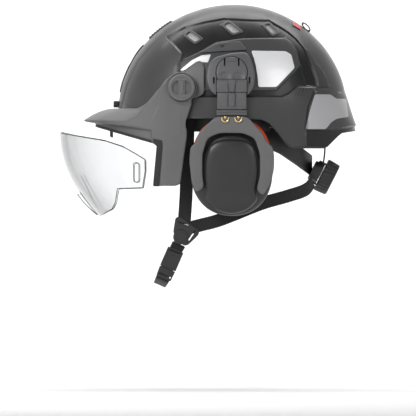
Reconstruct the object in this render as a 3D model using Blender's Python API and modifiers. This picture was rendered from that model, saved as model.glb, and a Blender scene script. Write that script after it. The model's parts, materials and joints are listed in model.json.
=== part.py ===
"""Forestry helmet with a flip-up visor frame, a slide-off face shield, swing-out ear muffs,
a ratchet headband and a chin strap with a side-release buckle.

Dimensions are in millimetres and become metres when a mesh is made. The origin is the
underside of the crown pad, +Z is up, the front of the helmet faces -X, and the wearer's
left side is -Y.
"""
import math

import bmesh
import bpy
from mathutils import Matrix, Vector

MM = 0.001
GAP = 0.3
SIDES = {"left": -1, "right": 1}

# Shell: an oval dome over a short vertical wall.
SHELL_CENTRE_X = 5.0
SHELL_EQUATOR_Z = -90.0
SHELL_FRONT_REACH = 136.5
SHELL_REAR_REACH = 133.0
SHELL_HALF_WIDTH = 106.0
SHELL_HEIGHT = 127.4
SHELL_PLAN_POWER = 2.3
SHELL_WALL_DEPTH = 60.0
SHELL_THICKNESS = 2.8
REAR_FLARE = 12.0
REAR_FLARE_TOP_Z = -66.0
REAR_FLARE_DEPTH = 43.0
LINER_THICKNESS = 18.0
LINER_CLEARANCE = 0.6

# Rim of the shell, seen from the side, from the front to the tip of the rear brim.
RIM = [(-160, -86), (-110, -90), (-60, -96.5), (38, -98.5), (47, -103), (58, -116),
       (66, -127), (73, -131.4), (115, -131.4), (129, -117.5), (134, -113.5), (156, -110)]
LINER_RIM = [(-160, -76), (-36, -86), (62, -86), (90, -104), (160, -102)]
VENTS = [[(-54, 3), (-48.5, 7.8), (-35, -2), (-42, -6.3)],
         [(-8.2, 14.5), (-2, 18.8), (12.2, 7), (3.5, 4.2)],
         [(40.2, 15), (46, 17.4), (57.2, 6.2), (50.8, 3.2)]]

# Stickers and covers that follow the dome, seen from the side.
SIDE_STICKER = [(25, -16.5), (66, -17), (73, -21), (77, -37), (55, -60), (33.6, -60), (32.4, -46), (29.5, -29)]
REAR_STICKER = [(101, -68.5), (120, -68.5), (127, -73.5), (139, -73.5), (142, -95), (127, -97.5),
                (121, -101.5), (114, -110), (90, -110), (95, -88)]
ACCESSORY_COVER = [(-18, -10), (15, -5.5), (21.5, -15.5), (-13, -17.5)]

# Visor hub: the hinge axis lies along Y through this point.
HUB_X = -58.0
HUB_Z = -60.7
HUB_RING_RADIUS = 18.5
HUB_KNOB_RADIUS = 16.0
HUB_PIN_RADIUS = 4.0
BOSS_FACE_Y = 105.2
WING_INNER_Y = 106.0
WING_OUTER_Y = 108.8
RING_FACE_Y = 110.4
KNOB_FACE_Y = 117.5
VISOR_BRACKET = [(-55, -41), (-42, -31), (-36, -27.8), (-30.4, -34), (-30.6, -69), (-42, -73),
                 (-60, -77), (-71, -66), (-68, -52)]
WING = [(-44.4, -76.8), (-53.5, -104), (-50.6, -114), (-59, -174.8), (-65, -177.6), (-91.4, -177.6),
        (-87.2, -130), (-93, -126), (-93, -104), (-76, -62), (-58, -62)]

# Visor peak: front reach from the hub's X, half width, and height along its length.
PEAK_INNER = {"centre_x": SHELL_CENTRE_X, "reach": 148.5, "half_width": 108.0}
PEAK_TIP = {"centre_x": HUB_X, "reach": 117.0, "half_width": 109.5}
PEAK_SKIRT = {"centre_x": HUB_X, "reach": 103.0, "half_width": 107.5}
PEAK_INNER_HEIGHTS = [(-143.5, -84.6), (-110, -84.4), (-99, -78), (-80, -58), (-58, -50)]
PEAK_RIDGE_HEIGHTS = [(-175, -97.8), (-119, -105), (-58, -114)]
PEAK_SKIRT_HEIGHTS = [(-161, -106.5), (-90, -126.6), (-58, -130)]
PEAK_WALL = 2.6
PEAK_SECTIONS = 33

# Face shield: a clear curved sheet with a slot, seen from the side.
LENS_TOP_Z = -114.7
LENS_DROP = 98.9
LENS_FRONT_X = -203.5
LENS_SWEEP_BACK = 48.7
LENS_REAR_X = -98.0
LENS_HALF_WIDTH = 99.0
LENS_THICKNESS = 1.6
LENS_OUTLINE = [(-206, -113.5), (-198, -113.5), (-128, -130), (-114, -137.8), (-99, -145), (-103.5, -180),
                (-106, -181.4), (-134, -182), (-136, -197), (-139, -205), (-155, -214.2), (-206, -214.2)]
LENS_SLOT = [(-115, -150), (-108.8, -150), (-108.8, -173), (-115, -173)]

# Ear muffs.
ARM_X = 1.8
ARM_HALF_WIDTH = 18.0
ARM_PIVOT_Y = 111.5
ARM_PIVOT_Z = -55.0
ARM_HALF_THICKNESS = 4.0
SLEEVE_BOTTOM_Z = -86.6
SLEEVE_TOP_BORE_Z = -58.0
TONGUE_HALF_WIDTH = 12.6
LIP_BOTTOM_Z = -94.0
BUTTON_Z = -42.6
BUTTON_RADIUS = 18.6
MUFF_MOUNT = [(-29.4, -49), (-27, -34), (-19, -24.5), (2, -19), (20.5, -18.2), (26.6, -31), (29.8, -46),
              (28, -62), (20.4, -71), (-17, -71), (-26.5, -62)]
YOKE_OUTER = [(-17, -95.2), (20, -95.2), (30, -105.5), (40, -118), (43, -125.5), (50.5, -131), (52.5, -142),
              (52, -160), (46, -178), (38.9, -189.5), (31, -183), (35.2, -165), (35.2, -140), (29, -121),
              (15, -115), (-13, -115), (-27, -121), (-33, -140), (-33, -165), (-31, -180), (-40.7, -186),
              (-46, -172), (-48.6, -150), (-47.5, -131.5), (-40.4, -126), (-39.4, -117), (-28, -105)]
YOKE_INNER_Y = 111.5
YOKE_OUTER_Y = 117.5
CUP_Z = -157.0
CUP_TILT_Z = -172.0
CUP_TILT_Y = 108.0
CUP_FACE = [(-27, -150), (-24, -134), (-15, -126), (1.8, -123.5), (18, -126), (27.5, -134), (30.5, -150),
            (28, -185), (20, -203), (1.8, -210.5), (-17, -203), (-24.5, -185)]

# Headband and nape ratchet.
HEADBAND_REACH = 100.0
HEADBAND_HALF_WIDTH = 76.0
HEADBAND_SWEEP = 118.0
NAPE_SWEEP = 76.0
KNOB_TILT = math.radians(27.0)
RATCHET_CENTRE = Vector((109.3, 0.0, -163.6))
RATCHET_AXIS = Vector((math.cos(KNOB_TILT), 0.0, -math.sin(KNOB_TILT)))
RATCHET_UP = Vector((math.sin(KNOB_TILT), 0.0, math.cos(KNOB_TILT)))
RATCHET_KNOB_RADIUS = 20.5
RATCHET_KNOB_DEPTH = 16.0

# Chin strap.
WEB_WIDTH = 15.4
WEB_THICKNESS = 1.6
BUCKLE_AXIS = Vector((-0.4, 0.0, -0.9165))
BUCKLE_ACROSS = Vector((0.9165, 0.0, -0.4))
BUCKLE_TOP = Vector((-64.8, 0.0, -253.8))
BUCKLE_Y = 70.0
BUCKLE_WIDTH = 20.0
BUCKLE_HALF_THICKNESS = 4.6
FEMALE_LENGTH = 24.0
MALE_LENGTH = 13.4
DIVIDER = [(-65.2, -215.5), (-60, -214), (-37, -231), (-37.5, -236), (-50.5, -248.5), (-56, -249), (-68.5, -235)]

COLOURS = {
    "shell": ((0.045, 0.045, 0.048), 0.15, 0.0), "grey": ((0.14, 0.14, 0.145), 0.45, 0.0),
    "dark": ((0.04, 0.04, 0.043), 0.5, 0.0), "foam": ((0.02, 0.02, 0.02), 0.9, 0.0),
    "liner": ((0.05, 0.05, 0.05), 0.9, 0.0), "orange": ((0.45, 0.06, 0.01), 0.5, 0.0),
    "brass": ((0.6, 0.4, 0.15), 0.3, 1.0), "steel": ((0.5, 0.5, 0.5), 0.3, 1.0),
    "web": ((0.012, 0.012, 0.013), 0.9, 0.0), "clear": ((0.85, 0.87, 0.88), 0.05, 0.0),
    "silver": ((0.7, 0.7, 0.7), 0.3, 0.0),
}


# ---------------------------------------------------------------- scene and mesh helpers

def clear_scene():
    for obj in list(bpy.data.objects):
        bpy.data.objects.remove(obj, do_unlink=True)


def new_collection(name):
    collection = bpy.data.collections.new(name)
    bpy.context.scene.collection.children.link(collection)
    return collection


def material(finish, name):
    colour, roughness, metallic = COLOURS[finish]
    made = bpy.data.materials.new(name)
    made.use_nodes = True
    shader = made.node_tree.nodes["Principled BSDF"]
    shader.inputs["Base Color"].default_value = (*colour, 1.0)
    shader.inputs["Roughness"].default_value = roughness
    shader.inputs["Metallic"].default_value = metallic
    return made


def face_outward(bm):
    bmesh.ops.recalc_face_normals(bm, faces=bm.faces[:])
    if bm.calc_volume(signed=True) < 0:
        bmesh.ops.reverse_faces(bm, faces=bm.faces[:])


def object_from_bmesh(bm, name="tool"):
    face_outward(bm)
    mesh = bpy.data.meshes.new(name)
    bm.to_mesh(mesh)
    bm.free()
    obj = bpy.data.objects.new(name, mesh)
    PARTS.objects.link(obj)
    return obj


def evaluated_mesh(obj):
    """The object's mesh with its modifiers applied, welded, in world space."""
    bpy.context.view_layer.update()
    depsgraph = bpy.context.evaluated_depsgraph_get()
    mesh = bpy.data.meshes.new_from_object(obj.evaluated_get(depsgraph))
    mesh.transform(obj.matrix_world)
    bm = bmesh.new()
    bm.from_mesh(mesh)
    bmesh.ops.remove_doubles(bm, verts=bm.verts[:], dist=2e-6)
    bmesh.ops.dissolve_degenerate(bm, edges=bm.edges[:], dist=2e-6)
    face_outward(bm)
    bm.to_mesh(mesh)
    bm.free()
    return mesh


def bake(obj):
    """Apply the object's modifiers and place, or turn a curve into a mesh."""
    mesh = evaluated_mesh(obj)
    made = bpy.data.objects.new(obj.name, mesh)
    PARTS.objects.link(made)
    bpy.data.objects.remove(obj, do_unlink=True)
    return made


def combine(body, tools, operation):
    for tool in tools:
        modifier = body.modifiers.new("combine", "BOOLEAN")
        modifier.operation = operation
        modifier.object = tool
        body.data = evaluated_mesh(body)
        body.modifiers.clear()
        bpy.data.objects.remove(tool, do_unlink=True)
    return body


def carve(body, *tools):
    return combine(body, tools, "DIFFERENCE")


def fuse(body, *tools):
    return combine(body, tools, "UNION")


def keep_inside(body, tool):
    return combine(body, [tool], "INTERSECT")


def finish(obj, name, look, origin=None, smooth=True):
    """Name a finished part, give it its material, and put its origin on its joint's axis."""
    obj.name = name
    obj.data.name = name
    obj.data.materials.clear()
    obj.data.materials.append(material(look, name))
    if smooth:
        obj.data.shade_smooth()
        obj.data.set_sharp_from_angle(angle=math.radians(32))
    if origin is not None:
        place = Vector(origin) * MM
        obj.data.transform(Matrix.Translation(-place))
        obj.location = place
    return obj


# ---------------------------------------------------------------- basic solids

def block(low, high):
    bm = bmesh.new()
    bmesh.ops.create_cube(bm, size=1.0)
    low = Vector(low) * MM
    high = Vector(high) * MM
    centre = (low + high) / 2
    size = high - low
    size = Vector([abs(side) for side in size])
    bm.transform(Matrix.Translation(centre) @ Matrix.Diagonal(size.to_4d()))
    return object_from_bmesh(bm)


def side_block(side, x, y, z):
    """A block from ranges of X, of distance from the middle plane, and of Z."""
    return block((x[0], side * y[0], z[0]), (x[1], side * y[1], z[1]))


def rod(start, end, radius, segments=32, end_radius=None):
    start = Vector(start) * MM
    end = Vector(end) * MM
    bm = bmesh.new()
    bmesh.ops.create_cone(bm, cap_ends=True, segments=segments, radius1=radius * MM,
                          radius2=(end_radius or radius) * MM, depth=(end - start).length)
    turn = (end - start).to_track_quat("Z", "Y").to_matrix().to_4x4()
    bm.transform(Matrix.Translation((start + end) / 2) @ turn)
    return object_from_bmesh(bm)


def disc(side, x, z, radius, y, segments=32):
    return rod((x, side * y[0], z), (x, side * y[1], z), radius, segments)


def plate(outline, y_low, y_high):
    """A flat outline in the XZ plane with its thickness along Y."""
    curve = bpy.data.curves.new("outline", "CURVE")
    curve.dimensions = "2D"
    curve.fill_mode = "BOTH"
    curve.extrude = abs(y_high - y_low) / 2 * MM
    spline = curve.splines.new("POLY")
    spline.points.add(len(outline) - 1)
    for point, (x, z) in zip(spline.points, outline):
        point.co = (x * MM, z * MM, 0.0, 1.0)
    spline.use_cyclic_u = True
    flat = bpy.data.objects.new("outline", curve)
    PARTS.objects.link(flat)
    middle = Matrix.Translation((0.0, (y_low + y_high) / 2 * MM, 0.0))
    flat.matrix_world = middle @ Matrix.Rotation(math.pi / 2, 4, "X")
    return bake(flat)


def side_plate(side, outline, y_inner, y_outer):
    return plate(outline, side * y_inner, side * y_outer)


def rounded(outline, radius, steps=4):
    """An outline with each corner replaced by an arc of about the given radius."""
    points = [Vector(point) for point in outline]
    result = []
    for index, corner in enumerate(points):
        before = points[index - 1] - corner
        after = points[(index + 1) % len(points)] - corner
        reach = min(radius, before.length * 0.45, after.length * 0.45)
        start = corner + before.normalized() * reach
        end = corner + after.normalized() * reach
        for step in range(steps + 1):
            t = step / steps
            result.append((1 - t) ** 2 * start + 2 * t * (1 - t) * corner + t ** 2 * end)
    return [(point.x, point.y) for point in result]


def oval(x, z, half_x, half_z, segments=32):
    turns = [2 * math.pi * index / segments for index in range(segments)]
    return [(x + half_x * math.cos(turn), z + half_z * math.sin(turn)) for turn in turns]


def loft(sections, closed=False):
    """A closed solid through a row of equal-length rings, given in millimetres."""
    bm = bmesh.new()
    rings = [[bm.verts.new(Vector(point) * MM) for point in section] for section in sections]
    count = len(rings[0])
    pairs = list(zip(rings, rings[1:]))
    if closed:
        pairs.append((rings[-1], rings[0]))
    for ring, following in pairs:
        for index in range(count):
            after = (index + 1) % count
            bm.faces.new((ring[index], ring[after], following[after], following[index]))
    if not closed:
        bm.faces.new(rings[0])
        bm.faces.new(rings[-1])
    return object_from_bmesh(bm)


def wire(points, radius, cyclic=False):
    """A round wire along hand-chosen points."""
    curve = bpy.data.curves.new("wire", "CURVE")
    curve.dimensions = "3D"
    curve.bevel_depth = radius * MM
    curve.bevel_resolution = 2
    curve.use_fill_caps = not cyclic
    spline = curve.splines.new("POLY")
    spline.points.add(len(points) - 1)
    for point, place in zip(spline.points, points):
        point.co = (*(Vector(place) * MM), 1.0)
    spline.use_cyclic_u = cyclic
    line = bpy.data.objects.new("wire", curve)
    PARTS.objects.link(line)
    return bake(line)


def smooth_path(points, per_span=4):
    """Catmull-Rom points through the given ones."""
    points = [Vector(point) for point in points]
    ends = [2 * points[0] - points[1]] + points + [2 * points[-1] - points[-2]]
    path = []
    for a, b, c, d in zip(ends, ends[1:], ends[2:], ends[3:]):
        for step in range(per_span):
            t = step / per_span
            path.append(0.5 * ((2 * b) + (c - a) * t + (2 * a - 5 * b + 4 * c - d) * t * t
                               + (3 * b - a - 3 * c + d) * t ** 3))
    path.append(points[-1])
    return path


def webbing(route, across, width=WEB_WIDTH, thickness=WEB_THICKNESS):
    """Flat webbing along a route; across gives the width's direction at a share of the length."""
    path = smooth_path(route)
    sections = []
    for index, centre in enumerate(path):
        tangent = (path[min(index + 1, len(path) - 1)] - path[max(index - 1, 0)]).normalized()
        side = across(index / (len(path) - 1))
        side = (side - tangent * side.dot(tangent)).normalized() * width / 2
        face = tangent.cross(side).normalized() * thickness / 2
        sections.append([centre - side - face, centre + side - face, centre + side + face, centre - side + face])
    return loft(sections)


def interpolate(table, value):
    """A straight-line reading of a short table of (position, result) pairs."""
    if value <= table[0][0]:
        return table[0][1]
    for (low, first), (high, second) in zip(table, table[1:]):
        if value <= high:
            return first + (second - first) * (value - low) / (high - low)
    return table[-1][1]


# ---------------------------------------------------------------- the dome

def dome_point(direction, grow):
    """Where a unit direction meets the surface that lies grow outside the shell's outer face."""
    level = math.hypot(direction.x, direction.y)
    if level < 1e-6:
        height = SHELL_HEIGHT + grow if direction.z > 0 else -SHELL_WALL_DEPTH
        return Vector((SHELL_CENTRE_X, 0.0, SHELL_EQUATOR_Z + height))
    ahead = direction.x / level
    aside = direction.y / level
    stretch = (abs(ahead) ** SHELL_PLAN_POWER + abs(aside) ** SHELL_PLAN_POWER) ** (-1 / SHELL_PLAN_POWER)
    above = direction.z > 0
    reach = stretch * (level if above else 1.0)
    length = (SHELL_REAR_REACH if ahead > 0 else SHELL_FRONT_REACH) + grow
    z = SHELL_EQUATOR_Z + direction.z * (SHELL_HEIGHT + grow if above else SHELL_WALL_DEPTH)
    x = SHELL_CENTRE_X + length * ahead * reach
    drop = max(0.0, REAR_FLARE_TOP_Z - z) / REAR_FLARE_DEPTH
    x += REAR_FLARE * min(drop, 1.0) ** 1.5 * max(0.0, ahead) ** 3
    return Vector((x, (SHELL_HALF_WIDTH + grow) * aside * reach, z))


def dome_mesh(grow, segments, rings, open_below):
    bm = bmesh.new()
    bmesh.ops.create_uvsphere(bm, u_segments=segments, v_segments=rings, radius=1.0)
    if open_below:
        lowest = min(vert.co.z for vert in bm.verts)
        bmesh.ops.delete(bm, geom=[v for v in bm.verts if v.co.z < lowest + 1e-5], context="VERTS")
    for vert in bm.verts:
        vert.co = dome_point(vert.co.normalized(), grow) * MM
    return object_from_bmesh(bm)


def dome_plug(grow):
    return dome_mesh(grow, 64, 32, open_below=False)


def dome_layer(lift, thickness, segments=48, rings=28):
    """A skin over the dome from lift to lift plus thickness outside the shell's outer face."""
    skin = dome_mesh(lift + thickness, segments, rings, open_below=True)
    solidify = skin.modifiers.new("thickness", "SOLIDIFY")
    solidify.thickness = thickness * MM
    solidify.offset = -1.0
    return bake(skin)


def skin_patch(side, outline, lift, thickness):
    """The piece of a dome layer that a side outline cuts out, on one side of the helmet."""
    return keep_inside(dome_layer(lift, thickness), side_plate(side, outline, 30.0, 150.0))


def above_rim(rim):
    """A block of everything above a rim line seen from the side."""
    return plate(rim + [(170, 80), (-170, 80)], -140.0, 140.0)


# ---------------------------------------------------------------- shell and liner

def make_shell():
    shell = keep_inside(dome_layer(-SHELL_THICKNESS, SHELL_THICKNESS), above_rim(RIM))
    for side in SIDES.values():
        for vent in VENTS:
            carve(shell, side_plate(side, rounded(vent, 2.0, 2), 35.0, 95.0))
    finish(shell, "outer_shell", "shell")


def make_liner():
    lift = -SHELL_THICKNESS - LINER_CLEARANCE - LINER_THICKNESS
    liner = keep_inside(dome_layer(lift, LINER_THICKNESS, 36, 20), above_rim(LINER_RIM))
    finish(liner, "impact_liner", "liner")


def make_shell_trim():
    for label, side in SIDES.items():
        finish(skin_patch(side, SIDE_STICKER, GAP, 0.5), f"side_reflector_{label}", "silver")
        finish(skin_patch(side, REAR_STICKER, GAP, 0.5), f"rear_reflector_{label}", "silver")
        finish(skin_patch(side, ACCESSORY_COVER, GAP, 3.0), f"accessory_cover_{label}", "shell")
    clip = block((-139.8, -9, -83.4), (-128, 9, -75.6))
    finish(carve(clip, dome_plug(GAP)), "lamp_clip", "dark")
    strip = block((-124, -16, 3), (-80, 16, 40))
    strip = keep_inside(dome_layer(GAP, 2.2), strip)
    finish(strip, "forehead_grip", "dark")


def make_goggle_clip():
    """A wire bail hinged on the back of the crest; its hinge axis lies along Y."""
    hinge = Vector((87.0, 0.0, 16.5))
    down = Vector((0.70, 0.0, -0.714))
    half = 11.0
    ends = [hinge + Vector((0, -half, 0)), hinge + Vector((0, half, 0))]
    tip = hinge + down * 13.0
    corners = [tip + Vector((0, -half, 0)), tip + Vector((0, half, 0))]
    route = [ends[0], corners[0] - down * 3, corners[0] + Vector((0, 3, 0)),
             corners[1] - Vector((0, 3, 0)), corners[1] - down * 3, ends[1]]
    finish(wire(route, 1.3), "goggle_clip", "dark", hinge)


# ---------------------------------------------------------------- ear muffs

def make_muff_mount(label, side):
    mount = skin_patch(side, rounded(MUFF_MOUNT, 5.0, 3), GAP + 0.1, 8.5)
    left_x = ARM_X - ARM_HALF_WIDTH - 0.6
    right_x = ARM_X + ARM_HALF_WIDTH + 0.6
    carve(mount, side_block(side, (left_x, right_x), (90, 130), (-80, -49.5)),
          disc(side, ARM_X, BUTTON_Z, BUTTON_RADIUS + 0.5, (80, 125), 40))
    finish(mount, f"muff_mount_{label}", "grey")


def make_release_button(label, side):
    button = skin_patch(side, oval(ARM_X, BUTTON_Z, BUTTON_RADIUS, BUTTON_RADIUS), 3.4, 6.2)
    carve(button, side_block(side, (-20, 25), (90, 130), (-70, -49.0)))
    for x in (-6.6, 10.2):
        carve(button, side_block(side, (x - 1.1, x + 1.1), (80, 130), (-34.5, -25.0)))
    finish(button, f"release_button_{label}", "grey", (ARM_X, side * 100.0, BUTTON_Z))


def make_arm(label, side):
    """Sleeve with a hinge knuckle at its top and a socket for the slider below."""
    inner = ARM_PIVOT_Y - ARM_HALF_THICKNESS
    outer = ARM_PIVOT_Y + ARM_HALF_THICKNESS
    left_x = ARM_X - ARM_HALF_WIDTH
    right_x = ARM_X + ARM_HALF_WIDTH
    arm = side_block(side, (left_x, right_x), (inner, outer), (SLEEVE_BOTTOM_Z, ARM_PIVOT_Z))
    knuckle = rod((left_x, side * ARM_PIVOT_Y, ARM_PIVOT_Z), (right_x, side * ARM_PIVOT_Y, ARM_PIVOT_Z),
                  ARM_HALF_THICKNESS, 24)
    fuse(arm, knuckle)
    bore = TONGUE_HALF_WIDTH + 0.4
    carve(arm, side_block(side, (ARM_X - bore, ARM_X + bore), (inner + 1.9, outer - 1.9),
                          (SLEEVE_BOTTOM_Z - 1, SLEEVE_TOP_BORE_Z)))
    finish(arm, f"muff_arm_{label}", "grey", (ARM_X, side * ARM_PIVOT_Y, ARM_PIVOT_Z))


def make_slider(label, side):
    inner = ARM_PIVOT_Y - ARM_HALF_THICKNESS
    outer = ARM_PIVOT_Y + ARM_HALF_THICKNESS
    slider = side_block(side, (ARM_X - ARM_HALF_WIDTH, ARM_X + ARM_HALF_WIDTH), (inner, outer),
                        (LIP_BOTTOM_Z, SLEEVE_BOTTOM_Z - 1.0))
    tongue = side_block(side, (ARM_X - TONGUE_HALF_WIDTH, ARM_X + TONGUE_HALF_WIDTH),
                        (inner + 2.3, outer - 2.3), (SLEEVE_BOTTOM_Z - 2.0, SLEEVE_TOP_BORE_Z - 1.0))
    finish(fuse(slider, tongue), f"height_slider_{label}", "grey", (ARM_X, side * ARM_PIVOT_Y, LIP_BOTTOM_Z))


def make_yoke(label, side):
    yoke = side_plate(side, rounded(YOKE_OUTER, 4.0, 2), YOKE_INNER_Y, YOKE_OUTER_Y)
    finish(yoke, f"cup_yoke_{label}", "grey", (ARM_X, side * YOKE_INNER_Y, LIP_BOTTOM_Z))
    loops = []
    for middle in (ARM_X - 7.8, ARM_X + 7.8):
        for step in range(9):
            turn = math.pi * (1 + step / 8)
            loops.append((middle + 4.2 * math.cos(turn), side * (YOKE_OUTER_Y + 1.4), -97.0 + 4.2 * math.sin(turn)))
    finish(wire(loops, 0.9), f"spring_wire_{label}", "brass")


def cup_layer(side, y, half_x, half_z):
    return [(x, side * y, z) for x, z in oval(ARM_X, CUP_Z, half_x, half_z)]


def make_cup(label, side):
    pivot = (ARM_X, side * CUP_TILT_Y, CUP_TILT_Z)
    cup = loft([cup_layer(side, 96.3, 48.5, 56), cup_layer(side, 101, 47, 54), cup_layer(side, 105, 42.5, 47.5),
                cup_layer(side, 108.5, 35, 39), cup_layer(side, 110, 31, 34)])
    fuse(cup, side_plate(side, rounded(CUP_FACE, 4.0, 2), 104.0, 120.5))
    carve(cup, loft([cup_layer(side, 95, 44, 51.5), cup_layer(side, 99, 43, 50.5), cup_layer(side, 104.5, 34, 39)]))
    finish(cup, f"ear_cup_{label}", "dark", pivot)

    ring = side_plate(side, oval(ARM_X, CUP_Z, 49.8, 57), 92.3, 96.0)
    carve(ring, side_plate(side, oval(ARM_X, CUP_Z, 33, 40), 80.0, 110.0))
    finish(ring, f"cup_ring_{label}", "orange", pivot)

    profile = [(78.3, 34, 41), (78.3, 42, 49), (82, 46.5, 53.5), (92, 46.5, 53.5), (92, 33, 40), (82, 30, 37)]
    turns = [2 * math.pi * index / 32 for index in range(32)]
    sections = [[(ARM_X + half_x * math.cos(turn), side * y, CUP_Z + half_z * math.sin(turn))
                 for y, half_x, half_z in profile] for turn in turns]
    finish(loft(sections, closed=True), f"ear_cushion_{label}", "foam", pivot)

    foam = side_plate(side, oval(ARM_X, CUP_Z, 32, 37, 32), 99.5, 104.0)
    finish(foam, f"cup_foam_{label}", "foam", pivot)


# ---------------------------------------------------------------- visor and face shield

def make_bracket(label, side):
    bracket = skin_patch(side, rounded(VISOR_BRACKET, 3.0, 2), GAP + 0.1, 3.8)
    boss = disc(side, HUB_X, HUB_Z, 11.0, (88.0, BOSS_FACE_Y))
    fuse(bracket, carve(boss, dome_plug(GAP + 0.1)))
    finish(bracket, f"visor_bracket_{label}", "grey")
    pin = disc(side, HUB_X, HUB_Z, HUB_PIN_RADIUS, (BOSS_FACE_Y + GAP, RING_FACE_Y + 0.4), 16)
    finish(pin, f"hub_pin_{label}", "steel")


def make_hub_knob(label, side):
    inner = RING_FACE_Y + 0.8
    knob = rod((HUB_X, side * inner, HUB_Z), (HUB_X, side * KNOB_FACE_Y, HUB_Z), HUB_KNOB_RADIUS, 36,
               HUB_KNOB_RADIUS - 0.8)
    for direction in (-1, 1):
        carve(knob, disc(side, HUB_X + direction * 11.0, HUB_Z, 7.5, (KNOB_FACE_Y - 3.2, KNOB_FACE_Y + 5)))
    finish(knob, f"hub_knob_{label}", "grey", (HUB_X, side * inner, HUB_Z))


def horseshoe(share, form, inset=0.0):
    """A point on a horseshoe that is open behind the hub; share runs from -1 (left) to 1 (right)."""
    reach = form["reach"] - inset
    rear = min(1.0, (form["centre_x"] - HUB_X) / reach)
    widest = math.acos(rear ** (SHELL_PLAN_POWER / 2))
    turn = widest * share
    power = 2 / SHELL_PLAN_POWER
    x = form["centre_x"] - reach * abs(math.cos(turn)) ** power
    y = (form["half_width"] - inset) * math.copysign(abs(math.sin(turn)) ** power, share)
    return x, y


def peak_section(share):
    inner = horseshoe(share, PEAK_INNER)
    tip = horseshoe(share, PEAK_TIP)
    under = horseshoe(share, PEAK_SKIRT, -0.6)
    skirt = horseshoe(share, PEAK_SKIRT)
    inside = horseshoe(share, PEAK_SKIRT, PEAK_WALL)
    inner_z = interpolate(PEAK_INNER_HEIGHTS, inner[0])
    ridge_z = interpolate(PEAK_RIDGE_HEIGHTS, tip[0])
    skirt_z = interpolate(PEAK_SKIRT_HEIGHTS, skirt[0])
    return [(*inner, inner_z), (*tip, ridge_z), (*tip, ridge_z - 1.8), (*under, ridge_z - 4.0),
            (*skirt, skirt_z), (*inside, skirt_z), (*inside, ridge_z - 4.0), (*inner, inner_z - PEAK_WALL)]


def make_visor_frame():
    shares = [2 * index / (PEAK_SECTIONS - 1) - 1 for index in range(PEAK_SECTIONS)]
    frame = loft([peak_section(share) for share in shares])
    for side in SIDES.values():
        # Clears the boss of the bracket while the frame turns about it.
        carve(frame, disc(side, HUB_X, HUB_Z, 26.0, (85, WING_INNER_Y + 0.7), 40))
    for side in SIDES.values():
        wing = side_plate(side, rounded(WING, 2.5, 2), WING_INNER_Y, WING_OUTER_Y)
        ring = disc(side, HUB_X, HUB_Z, HUB_RING_RADIUS, (WING_INNER_Y - 0.2, RING_FACE_Y), 36)
        fuse(frame, fuse(wing, ring))
        carve(frame, disc(side, HUB_X, HUB_Z, HUB_PIN_RADIUS + 0.5, (95, 115), 16))
    finish(frame, "visor_frame", "grey", (HUB_X, 0, HUB_Z))


def make_lens():
    """A clear sheet that sweeps back toward the chin, trimmed to its side outline."""
    bm = bmesh.new()
    rows = 8
    columns = 28
    grid = []
    for row in range(rows + 1):
        share = row / rows
        z = LENS_TOP_Z + 1.5 - (LENS_DROP + 2.0) * share
        front = LENS_FRONT_X + LENS_SWEEP_BACK * share ** 2.1
        reach = LENS_REAR_X - front
        line = []
        for column in range(columns + 1):
            turn = math.pi * (column / columns - 0.5)
            x = LENS_REAR_X - reach * abs(math.cos(turn)) ** 0.8
            y = LENS_HALF_WIDTH * math.copysign(abs(math.sin(turn)) ** 0.8, turn)
            line.append(bm.verts.new(Vector((x, y, z)) * MM))
        grid.append(line)
    for upper, lower in zip(grid, grid[1:]):
        for column in range(columns):
            bm.faces.new((upper[column], upper[column + 1], lower[column + 1], lower[column]))
    lens = object_from_bmesh(bm)
    solidify = lens.modifiers.new("thickness", "SOLIDIFY")
    solidify.thickness = LENS_THICKNESS * MM
    solidify.offset = 0.0
    lens = bake(lens)
    keep_inside(lens, plate(LENS_OUTLINE, -110, 110))
    carve(lens, plate(LENS_SLOT, -110, 110))
    finish(lens, "face_shield", "clear")


# ---------------------------------------------------------------- headband, ratchet, crown

def band(reach, half_width, turns, heights, thickness):
    """An upright band round the head; turns are degrees from the front, heights give (low, high) at X."""
    sections = []
    for turn in turns:
        angle = math.radians(turn)
        x = -reach * math.cos(angle)
        y = half_width * math.sin(angle)
        out = Vector((x / reach ** 2, y / half_width ** 2, 0)).normalized() * thickness
        low, high = heights(x)
        sections.append([(x, y, low), (x + out.x, y + out.y, low), (x + out.x, y + out.y, high), (x, y, high)])
    return loft(sections)


def span(low, high, count):
    return [low + (high - low) * index / (count - 1) for index in range(count)]


def nape_heights(x):
    middle = interpolate([(30, -112), (60, -126), (80, -140), (97, -153)], x)
    return middle - 13, middle + 12


def make_headband():
    ring = band(HEADBAND_REACH, HEADBAND_HALF_WIDTH, span(-HEADBAND_SWEEP, HEADBAND_SWEEP, 41),
                lambda x: (-112, -84), 1.8)
    finish(ring, "headband", "dark")
    sweat = band(HEADBAND_REACH - 4.4, HEADBAND_HALF_WIDTH - 4.4, span(-58, 58, 21), lambda x: (-116, -82), 4.0)
    finish(sweat, "sweatband", "foam")
    nape_turns = span(180 - NAPE_SWEEP, 180 + NAPE_SWEEP, 31)
    nape = band(HEADBAND_REACH - 3.0, HEADBAND_HALF_WIDTH - 3.0, nape_turns, nape_heights, 1.8)
    finish(nape, "nape_band", "dark")


def make_crown():
    pad = plate(rounded([(-28, 0), (28, 0), (28, 9), (-28, 9)], 2.5), -20, 20)
    finish(pad, "crown_pad", "foam")
    cross = block((-24, -8, 9.3), (24, 8, 11.0))
    fuse(cross, block((-8, -18, 9.3), (8, 18, 11.0)), block((-6, -6, 10), (6, 6, 14.6)))
    finish(cross, "crown_straps", "web")


def ratchet_frame(depth, aside, up):
    """A place given along the ratchet's axis, across it, and up its face."""
    return RATCHET_CENTRE + RATCHET_AXIS * depth + Vector((0, 1, 0)) * aside + RATCHET_UP * up


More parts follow.
